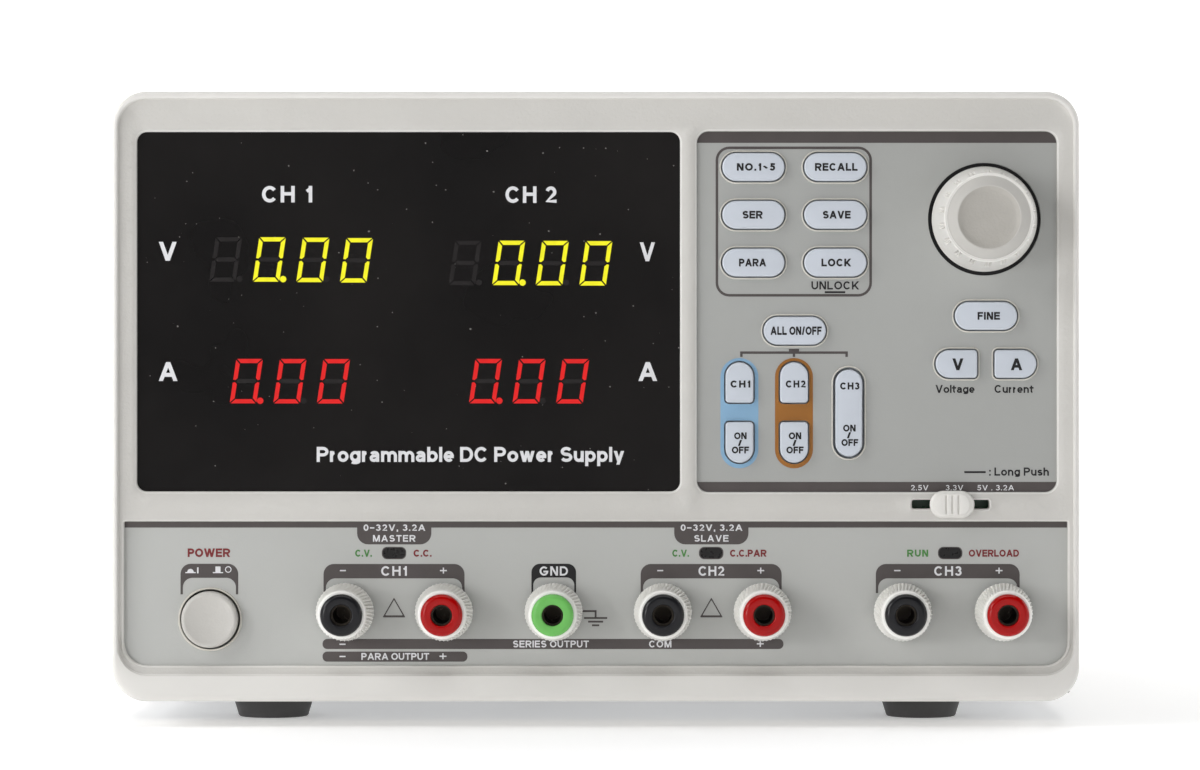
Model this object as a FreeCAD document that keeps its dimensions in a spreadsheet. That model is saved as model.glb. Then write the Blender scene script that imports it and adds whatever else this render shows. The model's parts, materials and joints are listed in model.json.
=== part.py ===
"""A three-channel programmable bench power supply, as a parametric FreeCAD document.

Frame: X to the right, Y to the back, Z up, in millimetres. The origin is on the table, under the
middle of the case. The front panels face -Y. Every driving dimension is a cell of the sheet Sizes,
and every sub-part is an object of its own, bound to those cells.
"""
import FreeCAD, Part
import math
import os
import re

import Sketcher

# ---------------------------------------------------------------- driving dimensions
CASE = {
    "case_width": 225.0,
    "case_height": 142.0,
    "foot_height": 6.0,
    "front_reach": -137.5,        # front faces of the terminals
    "rear_reach": 137.5,          # outermost wire of the fan guard
    "corner_round": 8.0,
    "bezel_front": -123.0,        # rim of the front moulding
    "bezel_face": -121.4,         # its face, inside the rim
    "bezel_back": -98.0,
    "bezel_wall": 2.5,
    "wall_back": -116.4,          # back of the moulding's front wall
    "rim_side": 1.5,
    "rim_top": 1.85,
    "chin_height": 6.5,
    "panel_front": -120.2,        # front of the window and of both panels
    "panel_thick": 2.0,
    "panel_ledge": 1.5,
    "sheet_metal": 1.0,
    "chassis_metal": 1.2,
    "cover_inset": 0.2,
    "rear_panel_front": 132.0,
    "rear_panel_back": 133.5,
    "sheet_gap": 0.1,             # between the cover's skin and what it slides over
    "cover_gap": 0.4,             # between the case's lower outline and the cover's edge
    "tray_gap": 0.5,              # and the chassis
    "cover_front_gap": 0.05,
    "tray_front_gap": 0.2,
}
WINDOWS = {
    "display_left": -106.8,
    "display_right": 19.6,
    "display_bottom": 54.87,
    "display_top": 138.56,
    "display_round": 2.3,
    "control_left": 23.5,
    "control_right": 107.3,
    "control_bottom": 54.7,
    "control_top": 138.75,
    "control_round": 2.7,
    "terminal_half": 109.8,
    "terminal_bottom": 14.35,
    "terminal_top": 47.93,
    "terminal_round": 5.5,
    "sharp_round": 0.4,
}
KEYS = {
    "key_front": -121.6,
    "key_flange_front": -117.9,
    "key_flange_back": -116.7,
    "key_stem_end": -113.6,
    "key_stem_radius": 1.6,
    "key_round": 3.0,
    "key_corner": 0.6,
    "key_edge": 0.5,
    "key_gap": 0.55,
    "key_lip": 0.8,
    "memory_key_half": 4.0,       # half the straight stretch of a 14 mm key
    "column_one": 36.67,
    "column_two": 55.74,
    "row_one": 130.40,
    "row_two": 119.28,
    "row_three": 108.16,
    "fine_centre": 90.81,
    "fine_level": 95.75,
    "all_centre": 46.29,
    "all_level": 92.30,
    "select_level": 84.58,
    "voltage_left": 79.32,
    "voltage_right": 88.52,
    "current_left": 93.07,
    "current_right": 102.27,
    "channel_one": 33.44,
    "channel_two": 46.14,
    "channel_three": 58.89,
    "channel_top": 84.7,
    "channel_split_top": 75.8,
    "channel_split_bottom": 70.8,
    "channel_bottom": 61.8,
    "long_key_round": 3.12,
    "long_key_top": 83.25,
    "long_key_bottom": 63.03,
}
KNOB = {
    "knob_centre": 90.5,
    "knob_level": 118.28,
    "knob_radius": 12.25,
    "knob_crown_radius": 10.2,
    "knob_dish_radius": 8.2,
    "knob_front": -137.0,
    "knob_back": -119.6,
    "grip_front": -128.8,
    "grip_taper": 0.35,
    "crown_depth": 1.6,
    "crown_bevel": 1.2,
    "knob_recess_radius": 13.15,
    "knob_recess_depth": 1.0,
    "knob_dish_depth": 0.6,
    "knob_dish_slope": 0.8,
    "shaft_radius": 3.0,
    "shaft_front": -133.0,
    "shaft_neck_radius": 2.45,
    "shaft_end": -115.0,
    "bush_radius": 3.5,
    "bush_front": -122.4,
    "bush_room": 1.0,             # room for the bush inside the knob, all round
    "bush_gap": 0.6,              # and in front of it
    "shaft_gap": 0.3,             # between the bush and the shaft's shoulder
    "encoder_bore": 2.5,
    "encoder_bore_end": -114.9,
    "encoder_half": 6.0,
    "encoder_front": -114.0,
}
SLIDER = {
    "slider_centre": 82.81,
    "slider_level": 51.9,
    "slider_front": -124.0,
    "slider_back": -121.7,
    "slider_round": 3.2,
    "slider_half": 2.0,           # half the straight stretch of the thumb piece
    "slot_left": 73.53,
    "slot_right": 91.62,
    "slot_half_height": 1.05,
    "slider_stem_half": 4.0,
    "slider_stem_half_height": 0.8,
    "slider_stem_end": -114.3,
    "stem_gap": 0.3,
    "groove_pitch": 1.45,
    "groove_half": 0.25,
    "groove_half_height": 2.2,
    "groove_round": 0.2,
    "groove_depth": 0.5,
    "range_switch_half": 10.0,
    "range_switch_half_height": 3.2,
}
POWER_BUTTON = {
    "button_centre": -89.83,
    "button_level": 25.12,
    "button_radius": 6.55,
    "button_hole": 7.0,
    "button_front": -123.2,
    "button_back": -111.0,
    "button_dish": 0.5,
    "button_rim": 1.6,
    "button_rim_depth": 0.2,
    "button_edge": 0.6,
    "button_stem_radius": 2.4,
    "button_stem_end": -92.7,
    "switch_front": -91.4,
    "switch_back": -66.0,
    "switch_half": 7.5,
    "switch_foot": 8.0,
}
POSTS = {
    "post_level": 26.87,
    "post_one": -58.35,
    "post_two": -35.3,
    "post_three": -9.8,
    "post_four": 15.6,
    "post_five": 38.8,
    "post_six": 71.4,
    "post_seven": 94.85,
    "post_bore": 2.0,
    "post_bore_depth": 15.0,
    "post_radius": 2.95,
    "post_front": -135.4,
    "post_back": -100.0,
    "post_flange": 5.2,
    "post_flange_thick": 0.8,
    "post_hole": 4.1,
    "nut_half": 4.0,              # half the width across the flats
    "nut_thick": 3.0,
    "collar_back": -121.5,
    "collar_front": -135.0,
    "collar_wide": 6.8,
    "collar_narrow": 5.6,
    "collar_bore": 4.25,
    "collar_band": 1.2,           # smooth band at the wide end
    "insert_sleeve": 4.2,
    "insert_bore": 3.0,
    "insert_mouth": 2.45,
    "insert_ring": 4.85,
    "insert_ring_back": -135.05,
    "insert_mouth_depth": 1.8,
    "insert_mouth_edge": 0.5,
    "insert_edge": 0.8,
    "insert_edge_depth": 1.0,
}
LENSES = {
    "lens_level": 40.53,
    "lens_one": -47.0,
    "lens_two": 26.87,
    "lens_three": 82.52,
    "lens_round": 1.25,
    "lens_half": 1.5,
    "lamp_half": 2.4,
    "lamp_half_height": 1.0,
    "lamp_gap": 0.6,
}
FRONT_BOARD = {
    "board_front": -108.0,
    "board_thick": 1.6,
    "board_half": 108.0,
    "board_bottom": 37.0,
    "board_top": 137.0,
    "board_round": 1.0,
    "tact_half": 3.0,
    "tact_front": -111.5,
    "tact_plunger_radius": 1.75,
    "tact_plunger_front": -112.5,
    "boss_radius": 2.2,
    "boss_side": 107.6,
    "boss_middle": 21.5,
    "boss_low": 62.0,
    "boss_high": 131.0,
    "module_front": -116.0,
    "module_width": 41.4,
    "module_height": 18.0,
    "module_left_volts": -91.8,
    "module_left_amps": -97.0,
    "module_right_volts": -36.0,
    "module_right_amps": -41.3,
    "volts_level": 108.5,
    "amps_level": 80.6,
}
INSIDE = {
    "flange_height": 14.0,
    "front_flange_top": 22.0,
    "front_flange_half": 104.0,
    "screw_across": 60.0,
    "screw_low": 12.2,
    "screw_radius": 1.5,
    "screw_head": 3.2,
    "screw_head_thick": 1.8,
    "screw_length": 8.0,
    "side_screw_level": 14.0,
    "side_screw_front": -70.0,
    "side_screw_rear": 105.0,
    "side_screw_length": 5.0,
    "foot_across": 77.7,
    "foot_front": -84.0,
    "foot_rear": 112.0,
    "foot_top_radius": 10.1,
    "foot_bottom_radius": 8.45,
    "core_left": -98.0,
    "core_right": -8.0,
    "core_front": -20.0,
    "core_back": 40.0,
    "core_bottom": 7.7,
    "core_top": 83.0,
    "core_yoke": 15.0,
    "core_leg_half": 15.0,
    "winding_reach": 14.5,
    "winding_clear": 0.3,
    "winding_round": 6.0,
    "main_left": 8.0,
    "main_right": 104.0,
    "main_front": -88.0,
    "main_back": 96.0,
    "main_level": 16.0,
    "standoff_radius": 3.0,
    "standoff_inset": 6.0,
    "sink_left": 22.0,
    "sink_base": 5.0,
    "sink_right": 90.0,
    "sink_front": 20.0,
    "sink_back": 98.0,
    "sink_top": 122.0,
    "fin_thick": 1.8,
    "fin_pitch": 9.0,
    "fin_low": 42.0,
    "fin_count": 9.0,
    "fin_root": 1.0,              # how far a fin reaches into the base
    "capacitor_radius": 15.0,
    "capacitor_height": 42.0,
    "capacitor_left": 30.0,
    "capacitor_pitch": 36.0,
    "capacitor_front": -60.0,
}
REAR = {
    "fan_centre": 55.0,
    "fan_level": 88.0,
    "fan_half": 40.0,
    "fan_front": 107.0,
    "fan_back": 131.9,
    "fan_duct": 38.0,
    "fan_screw": 35.75,
    "fan_screw_hole": 2.15,
    "fan_screw_depth": 12.0,
    "fan_screw_head": 1.6,
    "fan_round": 4.0,
    "fan_hub": 17.0,
    "hub_plate": 3.0,
    "strut_half": 2.5,
    "strut_root": 1.0,
    "rotor_front": 109.0,
    "rotor_back": 128.4,
    "blade_tip": 36.6,
    "blade_thick": 1.6,
    "blade_turn": 34.0,
    "blade_count": 7.0,
    "blade_root": 1.0,
    "blade_margin": 2.0,          # how much shorter than the hub the blades are
    "pin_radius": 1.5,
    "pin_clear": 0.05,
    "guard_wire": 0.9,
    "guard_ring_one": 12.0,
    "guard_ring_pitch": 8.7,
    "guard_ring_count": 4.0,
    "guard_eye": 4.6,
    "guard_spoke_gap": 3.1,
    "guard_spoke_front": 134.2,
    "eye_thick": 1.5,
    "inlet_centre": -74.0,
    "inlet_level": 52.0,
    "inlet_half": 15.0,
    "inlet_half_height": 24.0,
    "inlet_flange_back": 136.5,
    "inlet_body_half": 13.7,
    "inlet_body_half_height": 22.0,
    "inlet_body_front": 112.0,
    "inlet_round": 2.0,
    "socket_offset": -6.5,        # the appliance socket is in the lower part of the inlet
    "socket_half": 12.0,
    "socket_half_height": 8.5,
    "socket_depth": 17.0,
    "pin_pitch": 7.0,
    "pin_half": 1.0,
    "pin_half_height": 2.0,
    "pin_row": -2.0,
    "pin_earth": 2.2,
    "pin_length": 14.0,
    "drawer_offset": 14.0,
    "drawer_half": 10.7,
    "drawer_half_height": 4.2,
    "drawer_clear": 0.1,
    "drawer_end_gap": 0.5,
    "drawer_round": 0.5,
    "drawer_wall": 1.5,
    "drawer_floor": 1.3,
    "drawer_face": 5.0,
    "pull_rise": 0.8,
    "pull_half": 4.0,
    "pull_half_height": 0.5,
    "pull_round": 0.3,
    "pull_depth": 1.5,
    "drawer_front": 116.0,
    "drawer_back": 137.2,
    "usb_centre": -20.0,
    "usb_level": 40.0,
    "usb_half": 6.0,
    "usb_half_height": 5.45,
    "usb_front": 118.0,
    "usb_back": 134.6,
    "usb_wall": 0.8,
    "usb_floor": 124.0,
    "usb_tongue_end": 133.6,
    "usb_tongue_half": 2.8,
    "usb_tongue_half_height": 1.6,
}
COVER = {
    "cover_round": 6.5,
    "vent_length": 26.0,
    "vent_half": 1.25,
    "vent_pitch": 6.0,
    "vent_count": 9.0,
    "vent_level": 74.0,
    "vent_front": -66.0,
    "vent_rear": 62.0,
    "top_vent_across": 52.0,
    "top_vent_front": -30.0,
}
SECTIONS = [CASE, WINDOWS, KEYS, KNOB, SLIDER, POWER_BUTTON, POSTS, LENSES, FRONT_BOARD, INSIDE,
            REAR, COVER]

document = FreeCAD.newDocument("bench_power_supply")
sheet = document.addObject("Spreadsheet::Sheet", "Sizes")
SIZES = {}
for section in SECTIONS:
    SIZES.update(section)
for row, (alias, number) in enumerate(SIZES.items(), start=1):
    sheet.set(f"A{row}", alias)
    sheet.set(f"B{row}", str(number))
    sheet.setAlias(f"B{row}", alias)
document.recompute()

parts = []


# ---------------------------------------------------------------- expressions and sketches
def bound(text):
    """The expression with every size's name pointed at its cell."""
    def cell(match):
        return "Sizes." + match.group(0) if match.group(0) in SIZES else match.group(0)
    return re.sub(r"[a-z_][a-z0-9_]*", cell, str(text))


def number_of(text):
    """What an expression comes to."""
    return float(sheet.evalExpression(bound(text)))


def drive(item, **expressions):
    """Bind properties of an object, written with __ for a dot, to expressions."""
    for name, text in expressions.items():
        item.setExpression(name.replace("__", "."), bound(text))


def rounded_box(left, low, right, high, corner):
    """Corner circles of an upright rectangle, counterclockwise."""
    return [(f"({left}) + ({corner})", f"({low}) + ({corner})", corner),
            (f"({right}) - ({corner})", f"({low}) + ({corner})", corner),
            (f"({right}) - ({corner})", f"({high}) - ({corner})", corner),
            (f"({left}) + ({corner})", f"({high}) - ({corner})", corner)]


def centred_box(across, level, half, half_height, corner="sharp_round"):
    """Corner circles of a rectangle about its centre."""
    return rounded_box(f"({across}) - ({half})", f"({level}) - ({half_height})",
                       f"({across}) + ({half})", f"({level}) + ({half_height})", corner)


def grown(outline, extra):
    """The same outline, larger by extra all round."""
    return [(across, level, f"({radius}) + ({extra})") for across, level, radius in outline]


def circle(across, level, radius):
    """An outline of one circle."""
    return [(across, level, radius)]


def tangent_points(first, second):
    """Where the line round the outside of two circles leaves one and meets the next."""
    across = second[0] - first[0]
    up = second[1] - first[1]
    distance = math.hypot(across, up)
    lean = (first[2] - second[2]) / distance
    square = math.sqrt(1 - lean * lean)
    normal_x = (across * lean + up * square) / distance
    normal_y = (up * lean - across * square) / distance
    return [FreeCAD.Vector(c[0] + normal_x * c[2], c[1] + normal_y * c[2], 0) for c in (first, second)]


def draw_outline(sketch, outline):
    """A closed outline: arcs about its corner circles, joined by tangent lines."""
    circles = [tuple(number_of(text) for text in corner) for corner in outline]
    up = FreeCAD.Vector(0, 0, 1)
    curves = []
    joins = []
    if len(circles) == 1:
        across, level, radius = circles[0]
        shape = Part.Circle(FreeCAD.Vector(across, level, 0), up, radius)
        curves.append(sketch.addGeometry(shape, False))
    else:
        count = len(circles)
        sides = [tangent_points(circles[i], circles[(i + 1) % count]) for i in range(count)]
        for i, (across, level, radius) in enumerate(circles):
            start = sides[i - 1][1]
            end = sides[i][0]
            first = math.atan2(start.y - level, start.x - across)
            last = math.atan2(end.y - level, end.x - across)
            if last <= first:
                last += 2 * math.pi
            shape = Part.Circle(FreeCAD.Vector(across, level, 0), up, radius)
            curves.append(sketch.addGeometry(Part.ArcOfCircle(shape, first, last), False))
        lines = [sketch.addGeometry(Part.LineSegment(*side), False) for side in sides]
        for i, line in enumerate(lines):
            joins.append(Sketcher.Constraint("Tangent", curves[i], 2, line, 1))
            joins.append(Sketcher.Constraint("Tangent", line, 2, curves[(i + 1) % count], 1))
    driven = []
    for curve, (across, level, radius) in zip(curves, outline):
        driven.append(("DistanceX", (-1, 1, curve, 3), across))
        driven.append(("DistanceY", (-1, 1, curve, 3), level))
        driven.append(("Radius", (curve,), radius))
    hold(sketch, joins, driven)


def draw_polygon(sketch, points):
    """A closed polygon with every corner held at its expressions."""
    corners = [FreeCAD.Vector(number_of(a), number_of(b), 0) for a, b in points]
    count = len(corners)
    lines = [sketch.addGeometry(Part.LineSegment(corners[i], corners[(i + 1) % count]), False)
             for i in range(count)]
    joins = []
    driven = []
    for i, line in enumerate(lines):
        joins.append(Sketcher.Constraint("Coincident", line, 2, lines[(i + 1) % count], 1))
        driven.append(("DistanceX", (-1, 1, line, 1), points[i][0]))
        driven.append(("DistanceY", (-1, 1, line, 1), points[i][1]))
    hold(sketch, joins, driven)


def hold(sketch, joins, driven):
    """Add an outline's constraints together, and bind the driven ones to their expressions."""
    constraints = joins + [Sketcher.Constraint(kind, *where, number_of(text))
                           for kind, where, text in driven]
    indices = sketch.addConstraint(constraints)
    for index, (_, _, text) in zip(indices[len(joins):], driven):
        sketch.setExpression(f"Constraints[{index}]", bound(text))


def new_body(label):
    """A new sub-part, which may hold several separate solids."""
    body = document.addObject("PartDesign::Body", label)
    body.Label = label
    body.AllowCompound = True
    parts.append(body)
    return body


def new_sketch(body, plane, distance):
    """A sketch on one of the body's own origin planes, moved along the plane's normal."""
    planes = {item.Role: item for item in body.Origin.OriginFeatures}
    sketch = body.newObject("Sketcher::SketchObject", body.Name + "_sketch")
    sketch.AttachmentSupport = [(planes[plane + "_Plane"], "")]
    sketch.MapMode = "FlatFace"
    drive(sketch, AttachmentOffset__Base__z=distance)
    return sketch


def extrude(body, kind, plane, outlines, start, end):
    """Pad or pocket outlines from one level to a higher one along the third axis."""
    distance = f"-({start})" if plane == "XZ" else start
    sketch = new_sketch(body, plane, distance)
    for outline in outlines:
        draw_outline(sketch, outline)
    feature = body.newObject("PartDesign::" + kind, body.Name + "_" + kind.lower())
    feature.Profile = sketch
    drive(feature, Length=f"({end}) - ({start})")
    feature.Reversed = (plane == "XZ") == (kind == "Pad")
    return feature


def pad(body, plane, outlines, start, end):
    """Add material between two levels."""
    return extrude(body, "Pad", plane, outlines, start, end)


def cut(body, plane, outlines, start, end):
    """Take material away between two levels."""
    return extrude(body, "Pocket", plane, outlines, start, end)


def turned(body, points):
    """Revolve a profile of (radius, Y) corners about the body's own Y axis."""
    sketch = new_sketch(body, "XY", "0")
    draw_polygon(sketch, points)
    feature = body.newObject("PartDesign::Revolution", body.Name + "_turned")
    feature.Profile = sketch
    feature.ReferenceAxis = (sketch, ["V_Axis"])
    feature.Angle = 360.0


def fillet(body, size, chosen):
    """Round every edge that the test picks."""
    document.recompute()
    base = body.Tip
    names = [f"Edge{i}" for i, edge in enumerate(base.Shape.Edges, start=1) if chosen(edge)]
    feature = body.newObject("PartDesign::Fillet", body.Name + "_fillet")
    feature.Base = (base, names)
    drive(feature, Radius=size)


def at_y(level):
    """A test for edges that lie at one Y."""
    wanted = number_of(level)
    return lambda edge: all(abs(point.y - wanted) < 1e-4 for point in (
        edge.valueAt(edge.FirstParameter), edge.valueAt(edge.LastParameter),
        edge.CenterOfMass))


# ---------------------------------------------------------------- front moulding and its panels
CASE_TOP = "foot_height + case_height"
PANEL_BACK = "panel_front + panel_thick"
TRAY_BOTTOM = "foot_height + tray_gap"
TRAY_FLOOR = f"{TRAY_BOTTOM} + chassis_metal"
TRAY_FRONT = "bezel_back + tray_front_gap"
DISPLAY = rounded_box("display_left", "display_bottom", "display_right", "display_top",
                      "display_round")
CONTROL = rounded_box("control_left", "control_bottom", "control_right", "control_top",
                      "control_round")
TERMINAL = [
    ("-terminal_half + terminal_round", "terminal_bottom + terminal_round", "terminal_round"),
    ("terminal_half - terminal_round", "terminal_bottom + terminal_round", "terminal_round"),
    ("terminal_half - sharp_round", "terminal_top - sharp_round", "sharp_round"),
    ("-terminal_half + sharp_round", "terminal_top - sharp_round", "sharp_round"),
]
SLOT = rounded_box("slot_left", "slider_level - slot_half_height", "slot_right",
                   "slider_level + slot_half_height", "sharp_round")


def front_bezel():
    """The plastic front: rim, recessed face, three openings with ledges, and board bosses."""
    body = new_body("front_bezel")
    outer = rounded_box("-case_width / 2", "foot_height", "case_width / 2", CASE_TOP, "corner_round")
    inner_round = "corner_round - bezel_wall"
    inner = rounded_box("-case_width / 2 + bezel_wall", "foot_height + bezel_wall",
                        "case_width / 2 - bezel_wall", f"{CASE_TOP} - bezel_wall", inner_round)
    pad(body, "XZ", [outer], "bezel_front", "bezel_back")
    cove_round = "corner_round - rim_side"
    cove = rounded_box("-case_width / 2 + rim_side", "foot_height + chin_height",
                       "case_width / 2 - rim_side", f"{CASE_TOP} - rim_top", cove_round)
    cut(body, "XZ", [cove], "bezel_front", "bezel_face")
    cut(body, "XZ", [inner], "wall_back", "bezel_back")
    cut(body, "XZ", [DISPLAY, CONTROL, TERMINAL], "bezel_face", PANEL_BACK)
    through = [
        rounded_box("display_left + panel_ledge", "display_bottom + panel_ledge",
                    "display_right - panel_ledge", "display_top - panel_ledge", "sharp_round"),
        rounded_box("control_left + panel_ledge", "control_bottom + panel_ledge",
                    "control_right - panel_ledge", "control_top - panel_ledge", "sharp_round"),
        rounded_box("-terminal_half + panel_ledge", "terminal_bottom + panel_ledge",
                    "terminal_half - panel_ledge", "terminal_top - panel_ledge",
                    "terminal_round - panel_ledge"),
    ]
    cut(body, "XZ", through, PANEL_BACK, "wall_back")
    cut(body, "XZ", [SLOT], "bezel_face", "wall_back")
    board_bosses = [circle(side, level, "boss_radius")
                    for side in ("-boss_side", "boss_middle", "boss_side")
                    for level in ("boss_low", "boss_high")]
    pad(body, "XZ", board_bosses, "wall_back", "board_front")
    screw_bosses = [circle(side, "screw_low", "2 * screw_radius")
                    for side in ("-screw_across", "screw_across")]
    pad(body, "XZ", screw_bosses, "wall_back", "bezel_back")
    screw_bores = [circle(side, "screw_low", "screw_radius")
                   for side in ("-screw_across", "screw_across")]
    cut(body, "XZ", screw_bores, "bezel_back - screw_length", "bezel_back")


def display_window():
    """The black acrylic window over the digits."""
    body = new_body("display_window")
    pad(body, "XZ", [DISPLAY], "panel_front", PANEL_BACK)


def control_panel():
    """The plate round the keys and the knob."""
    body = new_body("control_panel")
    pad(body, "XZ", [CONTROL], "panel_front", PANEL_BACK)
    recess = circle("knob_centre", "knob_level", "knob_recess_radius")
    cut(body, "XZ", [recess], "panel_front", "panel_front + knob_recess_depth")
    openings = [grown(outline, "key_gap") for _, outline, _ in key_list()]
    openings.append(circle("knob_centre", "knob_level", "bush_radius"))
    cut(body, "XZ", openings, "panel_front", PANEL_BACK)


def terminal_panel():
    """The plate that carries the terminals, the power button and the three lenses."""
    body = new_body("terminal_panel")
    pad(body, "XZ", [TERMINAL], "panel_front", PANEL_BACK)
    openings = [circle("button_centre", "button_level", "button_hole")]
    openings += [circle(across, "post_level", "post_hole") for across in POST_PLACES.values()]
    openings += lens_outlines()
    cut(body, "XZ", openings, "panel_front", PANEL_BACK)


def lens_outlines():
    """The three small indicator openings."""
    return [[(f"{across} - lens_half", "lens_level", "lens_round"),
             (f"{across} + lens_half", "lens_level", "lens_round")]
            for across in ("lens_one", "lens_two", "lens_three")]


def indicator_lenses():
    """Three smoked lenses, one in each indicator opening."""
    body = new_body("indicator_lenses")
    pad(body, "XZ", lens_outlines(), "panel_front", PANEL_BACK)


# ---------------------------------------------------------------- keys
def wide_key(across, level):
    """A key with two round ends, side by side."""
    return [(f"{across} - memory_key_half", level, "key_round"),
            (f"{across} + memory_key_half", level, "key_round")]


def key_list():
    """Name, outline and switch places of every key."""
    columns = ("column_one", "column_two")
    rows = ("row_one", "row_two", "row_three")
    names = (("preset", "recall"), ("series", "save"), ("parallel", "lock"))
    found = []
    for level, pair in zip(rows, names):
        for across, name in zip(columns, pair):
            found.append((f"key_{name}", wide_key(across, level), [(across, level)]))
    found.append(("key_fine", wide_key("fine_centre", "fine_level"), [("fine_centre", "fine_level")]))
    found.append(("key_all_on", wide_key("all_centre", "all_level"), [("all_centre", "all_level")]))
    high = "select_level + key_round - key_corner"
    low = "select_level - key_round + key_corner"
    found.append(("key_voltage", [
        ("voltage_left + key_round", "select_level", "key_round"),
        ("voltage_right - key_corner", low, "key_corner"),
        ("voltage_right - key_corner", high, "key_corner"),
    ], [("(voltage_left + voltage_right) / 2", "select_level")]))
    found.append(("key_current", [
        ("current_left + key_corner", low, "key_corner"),
        ("current_right - key_round", "select_level", "key_round"),
        ("current_left + key_corner", high, "key_corner"),
    ], [("(current_left + current_right) / 2", "select_level")]))
    for name, across in (("one", "channel_one"), ("two", "channel_two")):
        left = f"{across} - key_round + key_corner"
        right = f"{across} + key_round - key_corner"
        found.append((f"key_select_{name}", [
            (left, "channel_split_top + key_corner", "key_corner"),
            (right, "channel_split_top + key_corner", "key_corner"),
            (across, "channel_top - key_round", "key_round"),
        ], [(across, "(channel_top + channel_split_top) / 2")]))
        found.append((f"key_output_{name}", [
            (across, "channel_bottom + key_round", "key_round"),
            (right, "channel_split_bottom - key_corner", "key_corner"),
            (left, "channel_split_bottom - key_corner", "key_corner"),
        ], [(across, "(channel_bottom + channel_split_bottom) / 2")]))
    found.append(("key_output_three", [
        ("channel_three", "long_key_bottom + long_key_round", "long_key_round"),
        ("channel_three", "long_key_top - long_key_round", "long_key_round"),
    ], [("channel_three", "(long_key_bottom + long_key_top) / 2")]))
    return found


def key(name, outline, places):
    """A key cap with a retaining flange and a stem that reaches its switch."""
    body = new_body(name)
    pad(body, "XZ", [outline], "key_front", "key_flange_front")
    pad(body, "XZ", [grown(outline, "key_lip")], "key_flange_front", "key_flange_back")
    stems = [circle(across, level, "key_stem_radius") for across, level in places]
    pad(body, "XZ", stems, "key_flange_back", "key_stem_end")
    fillet(body, "key_edge", at_y("key_front"))


# ---------------------------------------------------------------- knob, slider, power button
def on_axis(body, across, level):
    """Move a body that is drawn about its own Y axis to its place."""
    drive(body, Placement__Base__x=across, Placement__Base__z=level)


def encoder_knob():
    """The big knob: skirt, tapered grip, dished front and a blind bore for the shaft."""
    body = new_body("encoder_knob")
    turned(body, [
        ("0", "shaft_front"),
        ("shaft_radius", "shaft_front"),
        ("shaft_radius", "bush_front - bush_gap"),
        ("bush_radius + bush_room", "bush_front - bush_gap"),
        ("bush_radius + bush_room", "knob_back"),
        ("knob_radius", "knob_back"),
        ("knob_radius - grip_taper", "grip_front"),
        ("knob_crown_radius", "knob_front + crown_depth"),
        ("knob_crown_radius - crown_bevel", "knob_front"),
        ("knob_dish_radius", "knob_front"),
        ("knob_dish_radius - knob_dish_slope", "knob_front + knob_dish_depth"),
        ("0", "knob_front + knob_dish_depth"),
    ])
    on_axis(body, "knob_centre", "knob_level")


def encoder_shaft():
    """The steel shaft that turns with the knob."""
    body = new_body("encoder_shaft")
    turned(body, [
        ("0", "shaft_front"),
        ("shaft_radius", "shaft_front"),
        ("shaft_radius", "bush_front - shaft_gap"),
        ("shaft_neck_radius", "bush_front - shaft_gap"),
        ("shaft_neck_radius", "shaft_end"),
        ("0", "shaft_end"),
    ])
    on_axis(body, "knob_centre", "knob_level")


def encoder():
    """The rotary encoder: a square housing on the board and its threaded bush."""
    body = new_body("encoder")
    housing = centred_box("knob_centre", "knob_level", "encoder_half", "encoder_half")
    pad(body, "XZ", [housing], "encoder_front", "board_front")
    pad(body, "XZ", [circle("knob_centre", "knob_level", "bush_radius")], "bush_front",
        "encoder_front")
    bore = circle("knob_centre", "knob_level", "encoder_bore")
    cut(body, "XZ", [bore], "bush_front", "encoder_bore_end")


def range_slider():
    """The thumb piece of the three-position range switch."""
    body = new_body("range_slider")
    thumb = [("slider_centre - slider_half", "slider_level", "slider_round"),
             ("slider_centre + slider_half", "slider_level", "slider_round")]
    stem = centred_box("slider_centre", "slider_level", "slider_stem_half",
                       "slider_stem_half_height", "sharp_round")
    pad(body, "XZ", [thumb], "slider_front", "slider_back")
    pad(body, "XZ", [stem], "slider_back", "slider_stem_end")
    grooves = [centred_box(f"slider_centre + {place} * groove_pitch", "slider_level",
                           "groove_half", "groove_half_height", "groove_round")
               for place in (-1, 0, 1)]
    cut(body, "XZ", grooves, "slider_front", "slider_front + groove_depth")


def power_button():
    """The round mains button with its long stem, latched in."""
    body = new_body("power_button")
    turned(body, [
        ("0", "button_front + button_dish"),
        ("button_radius - button_rim", "button_front + button_rim_depth"),
        ("button_radius - button_edge", "button_front"),
        ("button_radius", "button_front + button_edge"),
        ("button_radius", "button_back"),
        ("button_stem_radius", "button_back"),
        ("button_stem_radius", "button_stem_end"),
        ("0", "button_stem_end"),
    ])
    on_axis(body, "button_centre", "button_level")


def power_switch():
    """The latching mains switch behind the button, on a foot that reaches the chassis."""
    body = new_body("power_switch")
    housing = centred_box("button_centre", "button_level", "switch_half", "switch_half")
    pad(body, "XZ", [housing], "switch_front", "switch_back")
    foot = rounded_box("button_centre - switch_half", TRAY_FLOOR,
                       "button_centre + switch_half", "button_level", "sharp_round")
    pad(body, "XZ", [foot], "switch_back - switch_foot", "switch_back")


# ---------------------------------------------------------------- binding posts
POST_PLACES = {
    "one_minus": "post_one",
    "one_plus": "post_two",
    "ground": "post_three",
    "two_minus": "post_four",
    "two_plus": "post_five",
    "three_minus": "post_six",
    "three_plus": "post_seven",
}


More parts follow.
